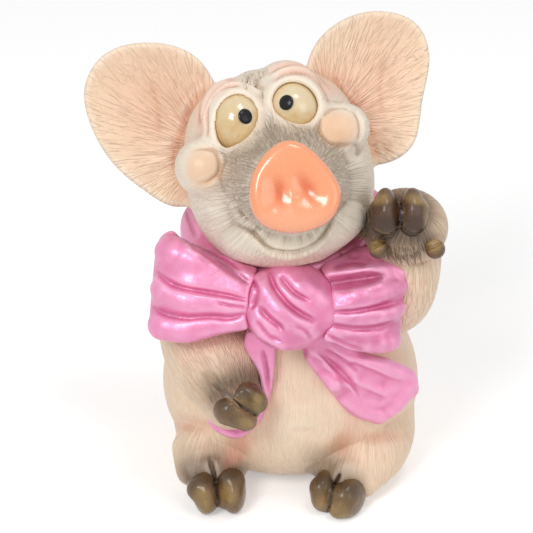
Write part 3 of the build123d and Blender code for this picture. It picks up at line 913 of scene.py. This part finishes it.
# Ears
ears = {
    "right_ear": {
        "folds": [(0.55, 3.0, [(198, 104), (184, 122), (176, 146), (172, 172)]),
                  (-0.6, 4.5, [(204, 84), (190, 98), (178, 118)]),
                  (0.35, 5.0, [(150, 80), (158, 110), (160, 140)])],
        "pink": ((162, 112), (40, 52), -36), "root": ((194, 140), (16, 56), 14), "from": (-12, 4, -6),
    },
    "left_ear": {
        "folds": [(0.6, 2.6, [(334, 76), (346, 94), (362, 116), (374, 138)]),
                  (-0.8, 3.6, [(376, 144), (380, 151), (384, 157)]),
                  (0.30, 5.0, [(384, 60), (380, 90), (384, 120)]),
                  (0.5, 1.8, [(426, 52), (431, 50), (436, 52)]),
                  (0.5, 1.8, [(428, 66), (432, 66), (437, 68)])],
        "pink": ((368, 86), (36, 52), 24), "root": ((350, 106), (14, 50), -38), "from": (12, 4, -6),
    },
}
earSizes = {"grain": 0.36, "soften": 4, "fillet": 2.4, "pitchRadius": 16.0, "stretch": 0.11}
for node, ear in ears.items():
    clay = nodeClay(node, earSizes["grain"], 3.0)
    clay.soften(earSizes["soften"])
    clay.settle(clay.fromNode("head"), earSizes["fillet"])
    skin = clay.skin()
    skin.carve(ear["folds"])
    spots = toPicture(skin.points)
    inner = skin.facing(-0.1, 0.3)
    paint = primed(spots, "earCream")
    for name, oval, soft, strength in (("peach", "pink", 0.8, 0.5), ("blush", "pink", 0.9, 0.08),
                                       ("blush", "root", 0.8, 0.4)):
        paint = coat(paint, name, patch(spots, *ear[oval], soft) * strength * inner)
    finishPiece(camelName(node, "Skin"), skin, paint, earSkin, node,
                rayFlow(skin.points, fromHead(*ear["from"]), headTurn[:, 2], earSizes["pitchRadius"],
                        earSizes["stretch"]))


# Body and legs
bodyFolds = {
    "torso": [
        (0.4, 6.0, [(174, 414), (186, 421), (198, 424), (212, 425)]),
        (-0.5, 14.0, [(300, 400), (300, 430)]),
    ],
    "left_leg": [(0.4, 6.0, [(356, 440), (370, 438), (386, 435), (402, 436)]),
                 (0.8, 2.2, [(340, 474), (334, 486), (328, 500)])],
    "right_leg": [(0.4, 6.0, [(180, 428), (192, 426), (206, 424)]),
                  (0.8, 2.2, [(210, 460), (213, 472), (216, 486)])],
    "right_arm": [(0.30, 2.0, [(214, 384), (219, 390), (224, 396)])],
    "left_arm": [(0.4, 2.6, [(404, 262), (418, 266), (432, 260)])],
}
bodySizes = {
    # grain, smoothing passes, fillet in mm, depth of the strokes, radius in mm where their pitch holds
    "torso": (0.42, 3, 0.0, 0.45, 24.0),
    "right_arm": (0.32, 4, 2.2, 1.1, 8.0),
    "left_arm": (0.32, 4, 2.2, 1.1, 8.0),
    "right_leg": (0.34, 4, 1.8, 0.6, 11.0),
    "left_leg": (0.34, 4, 1.8, 0.6, 11.0),
}
bodyStretch = 0.13
footFur = {
    # fur that comes down over the hoofs: picture points, lift, radius
    "right_leg": [([(188, 448), (192, 470)], -0.2, 3.3), ([(198, 444), (201, 465)], 1.2, 3.0),
                  ([(235, 440), (233, 457)], 1.2, 3.0)],
    "left_leg": [([(320, 454), (321, 465)], 1.0, 2.6), ([(344, 452), (348, 470)], 1.2, 3.2),
                 ([(358, 470), (364, 482)], -0.2, 3.0)],
}
bodyWash = {
    # paint, picture centre, radii, turn, strength
    "torso": [
        # the large pale cream oval on the belly's middle is painted light
        ("litCream", (296, 410), (46, 60), 0, 0.7), ("blush", (194, 424), (24, 8), 6, 0.2),
        ("rust", (342, 442), (8, 12), 35, 0.55), ("blush", (238, 450), (10, 18), 40, 0.5),
        # the long peach oval left of the belly's middle is the painted shadow of the bow's tail
        ("peach", (352, 430), (10, 16), 10, 0.5), ("peach", (262, 400), (16, 50), 6, 0.35),
        ("blush", (230, 336), (60, 10), 0, 0.3), ("blush", (352, 344), (60, 10), 20, 0.3),
    ],
    "left_leg": [
        ("blush", (380, 437), (28, 6), -2, 0.3), ("rust", (338, 450), (12, 14), 35, 0.5),
        ("taupe", (332, 464), (28, 14), 20, 0.6), ("brown", (323, 474), (20, 17), 20, 1.0),
        ("brown", (318, 470), (14, 12), 20, 1.0), ("brown", (346, 487), (20, 15), 30, 0.9),
    ],
    "right_leg": [
        ("blush", (236, 446), (12, 18), 10, 0.4), ("blush", (194, 426), (22, 6), 0, 0.15),
        ("taupe", (210, 456), (30, 13), 0, 0.6), ("brown", (229, 470), (20, 15), 10, 1.0),
        ("brown", (202, 476), (26, 15), 0, 1.0), ("brown", (214, 466), (24, 10), 0, 0.8),
    ],
    "right_arm": [
        ("taupe", (226, 380), (36, 24), -30, 0.5), ("brown", (246, 380), (22, 15), -20, 0.95),
        ("brown", (222, 396), (14, 22), -30, 0.95),
    ],
    "left_arm": [
        ("taupe", (400, 236), (40, 28), 0, 1.0), ("brown", (384, 210), (28, 32), 0, 1.0),
        ("brown", (410, 204), (26, 20), 10, 1.0), ("umber", (400, 236), (30, 7), 0, 0.7),
        ("umber", (366, 222), (7, 22), 0, 0.7), ("umber", (400, 242), (34, 8), 0, 0.45),
    ],
}
darkLines = {
    "right_leg": [curve([(209, 458), (211, 470), (215, 488), (218, 504)])],
    "left_leg": [curve([(339, 474), (335, 484), (329, 498), (326, 512)])],
    "right_arm": [curve([(218, 406), (222, 400), (227, 394), (240, 404)])],
}
furFlecks = {
    "right_arm": [[(219, 384), (223, 390)], [(231, 380), (232, 388)], [(249, 382), (250, 388)],
                  [(259, 378), (261, 384)], [(218, 408), (217, 418)], [(224, 390), (228, 396)],
                  [(210, 396), (212, 402)]],
}
sculpted = {"head": headClay}


def makeLimb(node, grain, passes, blend):
    clay = nodeClay(node, grain, 5.0 if node in footFur else 0.8 + blend)
    own = clay.form
    if node in footFur:
        clay.form = np.minimum(own, clay.fromNode(node + "_claws"))
    places = [(clay.onFront(line, lift - radius), radius) for line, lift, radius in footFur.get(node, [])]
    clay.form = own
    for spots, radius in places:
        clay.add(clay.tube(spots, (radius, radius)), 1.4)
    if blend:
        clay.settle(clay.fromNode("torso"), blend)
    clay.soften(passes)
    sculpted[node] = clay
    skin = clay.skin()
    skin.carve(bodyFolds[node])
    return skin


def paintLimb(skin, node):
    spots = toPicture(skin.points)
    front = skin.facing(-0.3, 0.3)
    washes = bodyWash[node]
    if "arm" not in node:
        # The softer washes run on over the legs and the torso alike
        others = [other for other in ("torso", "right_leg", "left_leg") if other != node]
        washes = washes + [wash for other in others for wash in bodyWash[other] if wash[0] != "brown"]
    paint = washed(primed(spots, "cream"), spots, washes, 0.7, front)
    paint = lined(paint, "umber", spots, darkLines.get(node, []), 2.0, 0.9, front)
    return lined(paint, "umber", spots, furFlecks.get(node, []), 0.9, 0.8)


for node, (grain, passes, blend, furry, pitchRadius) in bodySizes.items():
    skin = makeLimb(node, grain, passes, blend)
    middle = skin.points.mean(0)
    axis = (0, 0.1, 1)
    if "arm" in node:
        axis = np.linalg.svd(skin.points[::9] - middle, full_matrices=False)[2][0]
    finishPiece(camelName(node, "Coat"), skin, paintLimb(skin, node), furCoat, node,
                rayFlow(skin.points, middle, axis, pitchRadius, bodyStretch), furry)


# Hoofs: tubes laid over each node draw its toes out; the fur comes down over them
hoofs = {
    # toes and the filling between: picture points, lift, the radius at both ends, in mm
    # the shade ovals are painted shade where the fur comes down, and the golden ovals are painted highlights
    # on the toes: picture centre, radii, turn; dark: lines
    "right_leg_claws": {
        "toes": [([(201, 489), (208, 503)], 0.2, (2.9, 2.0)), ([(231, 482), (226, 499)], 0.2, (2.9, 2.1)),
                 ([(215, 489), (216, 499)], -0.5, (1.7, 1.6))],
        "shade": [((202, 480), (20, 8), 0), ((231, 473), (18, 8), 0)],
        "dark": [[(214, 466), (216, 482), (218, 506)]],
        "gold": [((202, 500), (8, 12), 0), ((229, 494), (7, 10), 0)],
    },
    "left_leg_claws": {
        "toes": [([(321, 488), (327, 504)], 0.2, (2.4, 1.9)), ([(344, 497), (339, 508)], 0.2, (3.0, 2.2)),
                 ([(331, 494), (331, 504)], -0.5, (1.6, 1.5))],
        "shade": [((321, 479), (14, 8), 0), ((348, 487), (18, 8), 20)],
        "dark": [[(338, 476), (332, 492), (328, 512)]],
        "gold": [((323, 504), (7, 8), 0), ((340, 511), (10, 7), 20)],
    },
    "right_arm_claws": {
        "toes": [([(240, 397), (257, 403)], 0.5, (3.0, 2.1)), ([(229, 410), (246, 420)], 0.5, (3.1, 2.2)),
                 ([(235, 403), (251, 411)], 0.3, (2.2, 1.8))],
        "shade": [((243, 391), (20, 6), -10), ((224, 403), (7, 14), -20)],
        "dark": [[(226, 394), (238, 404), (256, 415)]],
        "gold": [((257, 404), (5, 8), 0), ((246, 424), (9, 5), 20)],
    },
    "left_arm_claws": {
        "toes": [([(383, 214), (384, 222)], -0.1, (2.9, 2.9)), ([(414, 211), (413, 220)], -0.1, (2.9, 2.8))],
        "shade": [((386, 226), (13, 9), 0), ((412, 227), (13, 9), 0)],
        "dark": [[(399, 200), (402, 216), (398, 234)], [(368, 208), (370, 228), (384, 236), (398, 236)]],
        "gold": [((378, 198), (11, 6), 0), ((417, 199), (13, 5), 10), ((428, 212), (4, 16), 0),
                 ((434, 244), (8, 8), 0), ((376, 246), (6, 6), 0)],
        # each big pad lies inside a raised wall; the two small ones are flat lumps
        "pads": [[(370, 210), (370, 226), (382, 236), (396, 231), (399, 216)],
                 [(401, 208), (401, 226), (414, 235), (428, 226), (429, 210)]],
        "lumps": [[(433, 239), (437, 247)], [(375, 239), (379, 247)]],
    },
}
hoofSizes = {"grain": 0.22, "soften": 2, "toeBlend": 0.4, "fillet": 0.8}
for node, hoof in hoofs.items():
    root = node.replace("_claws", "")
    raised = "pads" in hoof
    clay = nodeClay(node, hoofSizes["grain"])
    own, limb = clay.form, clay.borrow(sculpted[root])
    clay.form = np.minimum(own, limb)
    places = [(clay.onFront(line, lift - radii[0]), radii) for line, lift, radii in hoof["toes"]]
    clay.form = own
    for spots, radii in places:
        clay.add(clay.tube(spots, radii), hoofSizes["toeBlend"])
    if raised:
        clay.settle(limb, hoofSizes["fillet"])
    clay.clearFloor()
    clay.soften(hoofSizes["soften"])
    skin = clay.skin(keepAll=True)
    dark = [curve(line) for line in hoof["dark"]]
    rings = [curve(line, 6) for line in hoof.get("pads", [])]
    skin.carve([(0.9, 1.3, line) for line in dark])
    skin.carve([(0.4, 1.4, ring) for ring in rings])
    skin.carve([(0.8, 8.0, line) for line in hoof.get("lumps", [])])
    spots = toPicture(skin.points)
    paint = primed(spots, "pad" if raised else "hoof")
    paint = washed(paint, spots, [("umber", *oval, 0.55) for oval in hoof["shade"]], 0.8)
    # golden painted highlights on the toes' fronts
    paint = washed(paint, spots, [("gold", *oval, 0.75) for oval in hoof["gold"]], 0.7)
    paint = lined(paint, "umber", spots, dark, 1.7, 0.95)
    paint = lined(paint, "umber", spots, rings, 1.6, 0.8)
    finishPiece(camelName(root, "Hoofs"), skin, paint, hoofLacquer, node)


# Bow
bowLobes = {
    # tubes that fan out from the knot and swell the edge: points, how deep, radii in mm
    "right_bow_loop": [
        ([(246, 288), (214, 270), (188, 258), (171, 252)], -2.4, (1.2, 2.4, 3.2, 3.2)),
        ([(246, 306), (214, 304), (186, 301), (164, 289)], -2.0, (0.8, 1.5, 2.3, 2.7)),
        ([(246, 320), (214, 326), (186, 330), (163, 325)], -2.0, (0.9, 1.9, 2.5, 3.0)),
    ],
    "left_bow_loop": [
        ([(334, 300), (356, 296), (380, 292), (396, 286)], -1.9, (1.4, 2.2, 2.4, 2.3)),
        ([(342, 262), (362, 256), (386, 262), (398, 272)], -1.9, (1.2, 1.8, 2.0, 1.9)),
        ([(332, 318), (356, 319), (380, 315), (396, 308)], -1.8, (1.0, 1.6, 1.9, 1.9)),
        ([(328, 332), (350, 340), (374, 342), (390, 340)], -1.9, (1.0, 1.8, 2.2, 2.2)),
    ],
    "bow_knot": [
        ([(284, 272), (300, 288), (318, 302), (324, 316)], -2.6, (2.6, 3.0, 3.0, 2.4)),
        ([(264, 284), (272, 302), (290, 318), (310, 328)], -2.4, (2.4, 2.8, 2.8, 2.2)),
        ([(258, 312), (266, 328), (282, 340)], -2.2, (2.0, 2.4, 2.0)),
    ],
    "left_bow_tail": [
        ([(312, 350), (344, 358), (382, 366), (408, 376)], -1.0, (1.2, 1.6, 1.9, 1.6)),
        ([(310, 356), (334, 384), (356, 406), (378, 414)], -1.0, (1.2, 1.6, 2.0, 1.9)),
        ([(378, 414), (396, 404), (410, 382)], -1.0, (1.9, 1.7, 1.6)),
        ([(326, 362), (346, 378), (366, 394)], -1.0, (0.9, 1.4, 1.0)),
    ],
}
bowCuts = {
    # openings pressed into the loops: points, lift, radii
    "right_bow_loop": [([(180, 236), (196, 246), (214, 257), (232, 270), (246, 281)], 0.1,
                        (0.5, 0.8, 0.9, 0.9, 0.6))],
    "left_bow_loop": [([(330, 283), (346, 281), (364, 278), (382, 276)], 0.1, (1.4, 1.6, 1.4, 0.6))],
    "left_bow_tail": [([(354, 370), (368, 380), (384, 388), (397, 388)], 1.2, (1.4, 2.2, 2.2, 1.4)),
                      ([(358, 390), (369, 400), (380, 402)], 1.0, (1.2, 1.8, 1.2)),
                      ([(322, 353), (338, 368), (352, 382)], 1.0, (1.2, 1.6, 1.4))],
}
bowFolds = {
    "right_bow_loop": [
        (0.9, 1.8, [(157, 271), (169, 282), (184, 288), (208, 292), (230, 296), (247, 300)]),
        (0.9, 1.8, [(152, 306), (166, 314), (186, 318), (210, 317), (230, 318), (248, 313)]),
        (0.5, 1.5, [(186, 238), (204, 246), (226, 258), (240, 270)]),
        (0.5, 1.4, [(216, 302), (232, 306), (247, 308)]),
    ],
    "left_bow_loop": [
        (0.9, 2.0, [(328, 284), (346, 281), (366, 278), (382, 276)]),
        (0.8, 1.7, [(330, 312), (350, 312), (374, 308), (398, 302)]),
        (0.7, 1.6, [(326, 324), (350, 329), (374, 329), (396, 323)]),
        (0.5, 1.6, [(326, 334), (344, 344), (362, 350)]),
        (0.5, 1.6, [(334, 268), (350, 262), (366, 264)]),
    ],
    "bow_knot": [
        (1.0, 1.9, [(269, 270), (274, 286), (286, 302), (300, 313), (316, 321)]),
        (0.7, 1.7, [(280, 276), (294, 292), (310, 301)]),
        (0.8, 1.8, [(258, 306), (268, 318), (284, 331)]),
        (0.6, 1.6, [(256, 320), (268, 336), (282, 342)]),
        (0.6, 1.6, [(251, 278), (256, 292), (251, 310)]),
        (0.4, 1.5, [(296, 326), (306, 332), (312, 340)]),
    ],
    "left_bow_tail": [
        (0.6, 1.8, [(318, 352), (334, 366), (352, 384), (360, 398)]),
        (0.5, 1.6, [(324, 350), (342, 360), (358, 372)]),
    ],
    "right_bow_tail": [(0.5, 2.0, [(262, 350), (266, 370), (270, 392)]),
                       (0.4, 1.8, [(222, 428), (236, 434), (248, 430)])],
    "neck_ribbon": [
        (0.6, 1.5, [(326, 268), (342, 258), (358, 248)]),
        (0.5, 1.4, [(334, 272), (350, 264), (366, 252)]),
        (0.4, 1.3, [(338, 252), (346, 256), (356, 262)]),
        (0.5, 1.8, [(184, 208), (190, 222), (196, 238)]),
    ],
}
# painted shade along each loop's opening: a line of the picture and its width
bowOpeningShade = {"left_bow_loop": ([(330, 283), (348, 281), (366, 278), (382, 276)], 4.0),
            "right_bow_loop": ([(180, 236), (214, 257), (246, 281)], 2.6)}
# bowShade is painted shade, darkening the loop on the picture's right and beside the knot; bowPale on the
# loop on the picture's left is painted light on its lit side
bowTones = {
    "left_bow_loop": [("bowShade", (370, 312), (44, 50), 0, 0.9), ("bowPale", (388, 276), (18, 10), 0, 0.4)],
    "left_bow_tail": [("bowPale", (378, 392), (44, 40), 0, 0.4), ("bowShade", (330, 356), (20, 14), 0, 0.6)],
    "bow_knot": [("bowShade", (304, 330), (22, 20), 0, 0.5)],
    "right_bow_loop": [("bowPale", (196, 290), (44, 40), 0, 0.2)],
}
bowSizes = {
    "grain": 0.28, "soften": 3, "lobeBlend": 0.7, "cutBlend": 0.6,
    # each fold is cut wide, then sharp: shares of its depth and of its width
    "carvings": [(0.9, 2.1), (0.55, 0.8)],
}
for node, folds in bowFolds.items():
    clay = nodeClay(node, bowSizes["grain"])
    clay.soften(bowSizes["soften"])
    lobes = [(clay.onFront(curve(line, 4), lift), radii) for line, lift, radii in bowLobes.get(node, [])]
    for places, radii in lobes:
        steps = np.interp(np.linspace(0, 1, len(places)), np.linspace(0, 1, len(radii)), radii)
        clay.add(clay.tube(places, steps), bowSizes["lobeBlend"])
    for line, lift, radii in bowCuts.get(node, []):
        clay.cut(clay.tube(clay.onFront(line, lift), radii), bowSizes["cutBlend"])
    clay.soften(2)
    skin = clay.skin()
    for deep, wide in bowSizes["carvings"]:
        skin.carve([(depth * deep, width * wide, line) for depth, width, line in folds])
    skin.points = skin.spread(skin.points, 1, 0.4)
    spots = toPicture(skin.points)
    paint = washed(primed(spots, "bow"), spots, bowTones.get(node, []), 0.6)
    # a dark line of painted shade along the loop's opening
    if node in bowOpeningShade:
        paint = coat(paint, "bowDark", along(spots, *bowOpeningShade[node]) * 0.75 * skin.facing())
    finishPiece(camelName(node, "Skin"), skin, paint, pearlBow, node)


# Geometry Nodes: hair tufts and the curly tail
def treeNode(tree, kind, values, **settings):
    node = tree.nodes.new(kind)
    for key, value in settings.items():
        setattr(node, key, value)
    return wire(tree, node, values)


def newTree(name, inputs):
    return newGroup(name, {"Geometry": "Geometry"} | inputs | {"Material": "Material"},
                    {"Geometry": "Geometry"}, "GeometryNodeTree")


def closeTree(tree, give, take, geometry):
    real = treeNode(tree, "GeometryNodeRealizeInstances", {"Geometry": geometry})
    dressed = treeNode(tree, "GeometryNodeSetMaterial", {
        "Geometry": real.outputs[0], "Material": give.outputs["Material"]})
    tree.links.new(dressed.outputs[0], take.inputs["Geometry"])
    return tree


def buildTufts():
    # Bent hairs stand along each row, turned to the row's own aim
    tree, give, take = newTree("hairTufts", {
        "Spacing": 0.4, "Length": 3.0, "Thickness": 0.4, "Stray": 0.3, "Seed": 7})
    given = give.outputs
    line = treeNode(tree, "GeometryNodeMeshToCurve", {"Mesh": given["Geometry"]})
    row = treeNode(tree, "GeometryNodeResampleCurve", {"Curve": line.outputs[0], "Length": given["Spacing"]},
                   mode="LENGTH")
    hair = treeNode(tree, "GeometryNodeMeshCone", {
        "Vertices": 5, "Side Segments": 4, "Radius Top": 0.0, "Radius Bottom": given["Thickness"],
        "Depth": given["Length"]}, fill_type="NGON")
    spot = treeNode(tree, "GeometryNodeInputPosition", {})
    apart = treeNode(tree, "ShaderNodeSeparateXYZ", {0: spot.outputs[0]})
    share = mathNode(tree, "DIVIDE", apart.outputs["Z"], given["Length"])
    bend = times(tree, times(tree, share, share), times(tree, given["Length"], 0.3))
    offset = treeNode(tree, "ShaderNodeCombineXYZ", {"X": bend})
    bent = treeNode(tree, "GeometryNodeSetPosition", {
        "Geometry": hair.outputs["Mesh"], "Offset": offset.outputs[0]})
    aim = treeNode(tree, "GeometryNodeInputNamedAttribute", {"Name": "aim"}, data_type="FLOAT_VECTOR")
    stray = treeNode(tree, "FunctionNodeRandomValue", {0: (-1, -1, -1), 1: (1, 1, 1), "Seed": given["Seed"]},
                     data_type="FLOAT_VECTOR")
    pull = treeNode(tree, "ShaderNodeVectorMath", {0: stray.outputs[0], "Scale": given["Stray"]},
                    operation="SCALE")
    way = treeNode(tree, "ShaderNodeVectorMath", {0: aim.outputs[0], 1: pull.outputs[0]}, operation="ADD")
    turn = treeNode(tree, "FunctionNodeAlignRotationToVector", {"Vector": way.outputs[0]}, axis="Z")
    size = treeNode(tree, "FunctionNodeRandomValue", {2: 0.65, 3: 1.15, "Seed": given["Seed"]},
                    data_type="FLOAT")
    stand = treeNode(tree, "GeometryNodeInstanceOnPoints", {
        "Points": row.outputs[0], "Instance": bent.outputs[0], "Rotation": turn.outputs[0],
        "Scale": size.outputs[1]})
    return closeTree(tree, give, take, stand.outputs[0])


def buildCurl():
    # A tapering coil round its own axis
    tree, give, take = newTree("curlyCoil", {
        "Turns": 1.2, "StartRadius": 3.2, "EndRadius": 2.2, "Rise": 3.0, "Thickness": 1.4, "Taper": 0.5})
    given = give.outputs
    coil = treeNode(tree, "GeometryNodeCurveSpiral", {
        "Resolution": 72, "Rotations": given["Turns"], "Start Radius": given["StartRadius"],
        "End Radius": given["EndRadius"], "Height": given["Rise"]})
    run = treeNode(tree, "GeometryNodeSplineParameter", {}).outputs["Factor"]
    left = mathNode(tree, "SUBTRACT", 1.0, run)
    tip = mathNode(tree, "POWER", mathNode(tree, "MINIMUM", times(tree, left, 9.0), 1.0), 0.5)
    slim = mathNode(tree, "SUBTRACT", 1.0, times(tree, run, given["Taper"]))
    girth = mathNode(tree, "MAXIMUM", times(tree, tip, slim), 0.04)
    sized = treeNode(tree, "GeometryNodeSetCurveRadius", {"Curve": coil.outputs[0], "Radius": girth})
    ring = treeNode(tree, "GeometryNodeCurvePrimitiveCircle", {
        "Resolution": 24, "Radius": given["Thickness"]})
    body = treeNode(tree, "GeometryNodeCurveToMesh", {
        "Curve": sized.outputs[0], "Profile Curve": ring.outputs[0], "Fill Caps": True})
    if "Scale" in body.inputs:
        wire(tree, body, {"Scale": girth})
    smoothed = treeNode(tree, "GeometryNodeSetShadeSmooth", {"Geometry": body.outputs[0]})
    return closeTree(tree, give, take, smoothed.outputs[0])


def grow(tree, carrier, values):
    # The tree's result is kept as a plain mesh
    body = bpy.data.objects.new("sprout", carrier)
    bpy.context.collection.objects.link(body)
    modifier = body.modifiers.new("sprout", "NODES")
    modifier.node_group = tree
    for item in tree.interface.items_tree:
        if item.in_out == "INPUT" and item.name in values:
            modifier[item.identifier] = values[item.name]
    bpy.context.view_layer.update()
    mesh = bpy.data.meshes.new_from_object(body.evaluated_get(bpy.context.evaluated_depsgraph_get()))
    bpy.data.objects.remove(body)
    return mesh


def dressMesh(name, mesh, primer, color, strengthOf, flowScale, furry, nodes=()):
    points = np.empty(len(mesh.vertices) * 3)
    mesh.vertices.foreach_get("co", points)
    points = points.reshape(-1, 3) * 1000
    paint = coat(primed(points, primer), color, strengthOf(points))
    dressPoints(mesh, paint, np.zeros(len(points)), points * flowScale, furry)
    mesh.name = name
    placePiece(name, mesh, nodes)


def hairShade(points):
    return np.sin(points[:, 0] * 7) * np.sin(points[:, 2] * 6) * 0.5 + 0.5


def coilShade(points):
    return smooth(20, 24, points[:, 1]) * 0.4


tufts = {
    # rows: picture points, then the aim to the right, up and out of the picture
    "crestTuft": {
        "clay": "head", "spacing": 0.55, "length": 1.9, "thickness": 0.5, "stray": 0.2, "seed": 11,
        "paint": "lidPale", "second": "chalk", "material": faceSkin, "slot": "face",
        "rows": [([(241, 84), (250, 81), (259, 79), (267, 76)], (-0.35, 1.0, -0.1)),
                 ([(246, 89), (255, 86), (264, 83)], (-0.2, 1.0, 0.0))],
    },
    "pawBristles": {
        "clay": "left_arm", "spacing": 0.5, "length": 2.9, "thickness": 0.5, "stray": 0.2, "seed": 5,
        "paint": "taupe", "second": "brown", "material": furCoat, "slot": "coat",
        "rows": [([(372, 240), (384, 242), (398, 243), (412, 243), (424, 240)], (-0.05, -1.0, 0.3)),
                 ([(378, 247), (390, 250), (404, 251), (418, 250)], (0.0, -1.0, 0.15)),
                 ([(370, 200), (366, 210), (365, 222), (368, 234)], (-0.8, -0.7, 0.1))],
    },
}
hairTufts, curlyCoil = buildTufts(), buildCurl()
for name, look in tufts.items():
    points, aims, edges = [], [], []
    for line, (right, up, out) in look["rows"]:
        places = sculpted[look["clay"]].onFront(curve(line, 4), -0.5)
        edges += [(len(points) + i, len(points) + i + 1) for i in range(len(places) - 1)]
        points += [tuple(place / 1000) for place in places]
        aims += [tuple(viewRight * right + viewUp * up + viewBack * out)] * len(places)
    carrier = bpy.data.meshes.new(name)
    carrier.from_pydata(points, edges, [])
    aimData = carrier.attributes.new("aim", "FLOAT_VECTOR", "POINT").data
    aimData.foreach_set("vector", np.array(aims, np.float32).ravel())
    mesh = grow(hairTufts, carrier, {
        "Spacing": look["spacing"] / 1000, "Length": look["length"] / 1000,
        "Thickness": look["thickness"] / 1000, "Stray": look["stray"], "Seed": look["seed"],
        "Material": look["material"]})
    mesh.shade_smooth()
    dressMesh(name, mesh, look["paint"], look["second"], hairShade, 3, 0.2)

coilSizes = {"StartRadius": 3.1, "EndRadius": 2.3, "Rise": 2.2, "Thickness": 1.35}
low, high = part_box("curly_tail")
coil = grow(curlyCoil, bpy.data.meshes.new("coilCarrier"), {
    "Turns": 1.15, "Taper": 0.5, "Material": furCoat,
    **{key: value / 1000 for key, value in coilSizes.items()}})
middle = (np.array(low) + np.array(high)) / 2
coil.transform(Matrix.Translation(Vector(middle) + Vector((0, -0.0012, 0)))
               @ Matrix.Rotation(radians(-90), 4, "X") @ Matrix.Rotation(radians(90), 4, "Z"))
dressMesh("curlyTailCoil", coil, "cream", "blush", coilShade, 1.5, 0.4, ["curly_tail"])

# Carried-over pieces
for node, material in (("right_pupil", pupilBlack), ("left_pupil", pupilBlack), ("base_felt", greenFelt)):
    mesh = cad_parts[node].data
    mesh.materials.clear()
    mesh.materials.append(material)


# Studio
studio = {
    "world": 0.4, "floor": 0.92, "lift": 0.36,
    "lamps": {
        # place in metres, power in watts, size in metres
        "keyPanel": ((-0.25, -0.45, 0.5), 1.75, 0.22),
        "fillPanel": ((0.45, -0.4, 0.3), 0.6, 0.4),
        "topPanel": ((0.14, -0.14, 0.7), 0.85, 0.2),
    },
}


def seenRays(tree):
    # 1 for what the camera sees, also through glass or in a gloss
    rays = tree.nodes.new("ShaderNodeLightPath").outputs
    seen = mathNode(tree, "MAXIMUM", rays["Is Camera Ray"], rays["Is Transmission Ray"])
    return mathNode(tree, "MAXIMUM", seen, rays["Is Glossy Ray"])


def placeStudio():
    data = bpy.data.meshes.new("studioFloor")
    corners = [(-1.5, -1.5, 0), (1.5, -1.5, 0), (1.5, 1.5, 0), (-1.5, 1.5, 0)]
    data.from_pydata(corners, [], [(0, 1, 2, 3)])
    floor = bpy.data.objects.new("studioFloor", data)
    bpy.context.collection.objects.link(floor)
    floor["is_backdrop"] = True
    material = bpy.data.materials.new("whiteSweep")
    material.use_nodes = True
    tree = material.node_tree
    wire(tree, tree.nodes["Principled BSDF"], {
        "Base Color": (studio["floor"],) * 3 + (1,), "Roughness": 0.9, "Specular IOR Level": 0.1,
        "Emission Color": (1, 1, 1, 1), "Emission Strength": times(tree, seenRays(tree), studio["lift"])})
    data.materials.append(material)
    world = bpy.data.worlds.new("studioWorld")
    bpy.context.scene.world = world
    world.use_nodes = True
    tree = world.node_tree
    strength = tree.nodes.new("ShaderNodeMapRange")
    wire(tree, strength, {0: seenRays(tree), 3: studio["world"], 4: 1.0})
    wire(tree, tree.nodes["Background"], {"Color": (1, 1, 1, 1), "Strength": strength.outputs[0]})
    for name, (spot, power, size) in studio["lamps"].items():
        lamp = bpy.data.lights.new(name, "AREA")
        lamp.energy, lamp.size = power, size
        panel = bpy.data.objects.new(name, lamp)
        panel.location = spot
        panel.rotation_euler = (Vector((0, 0, 0.05)) - Vector(spot)).to_track_quat("-Z", "Y").to_euler()
        bpy.context.collection.objects.link(panel)
    bpy.context.scene.view_settings.view_transform = "Standard"


placeCamera()
placeStudio()
print("studio placed")

low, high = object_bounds()
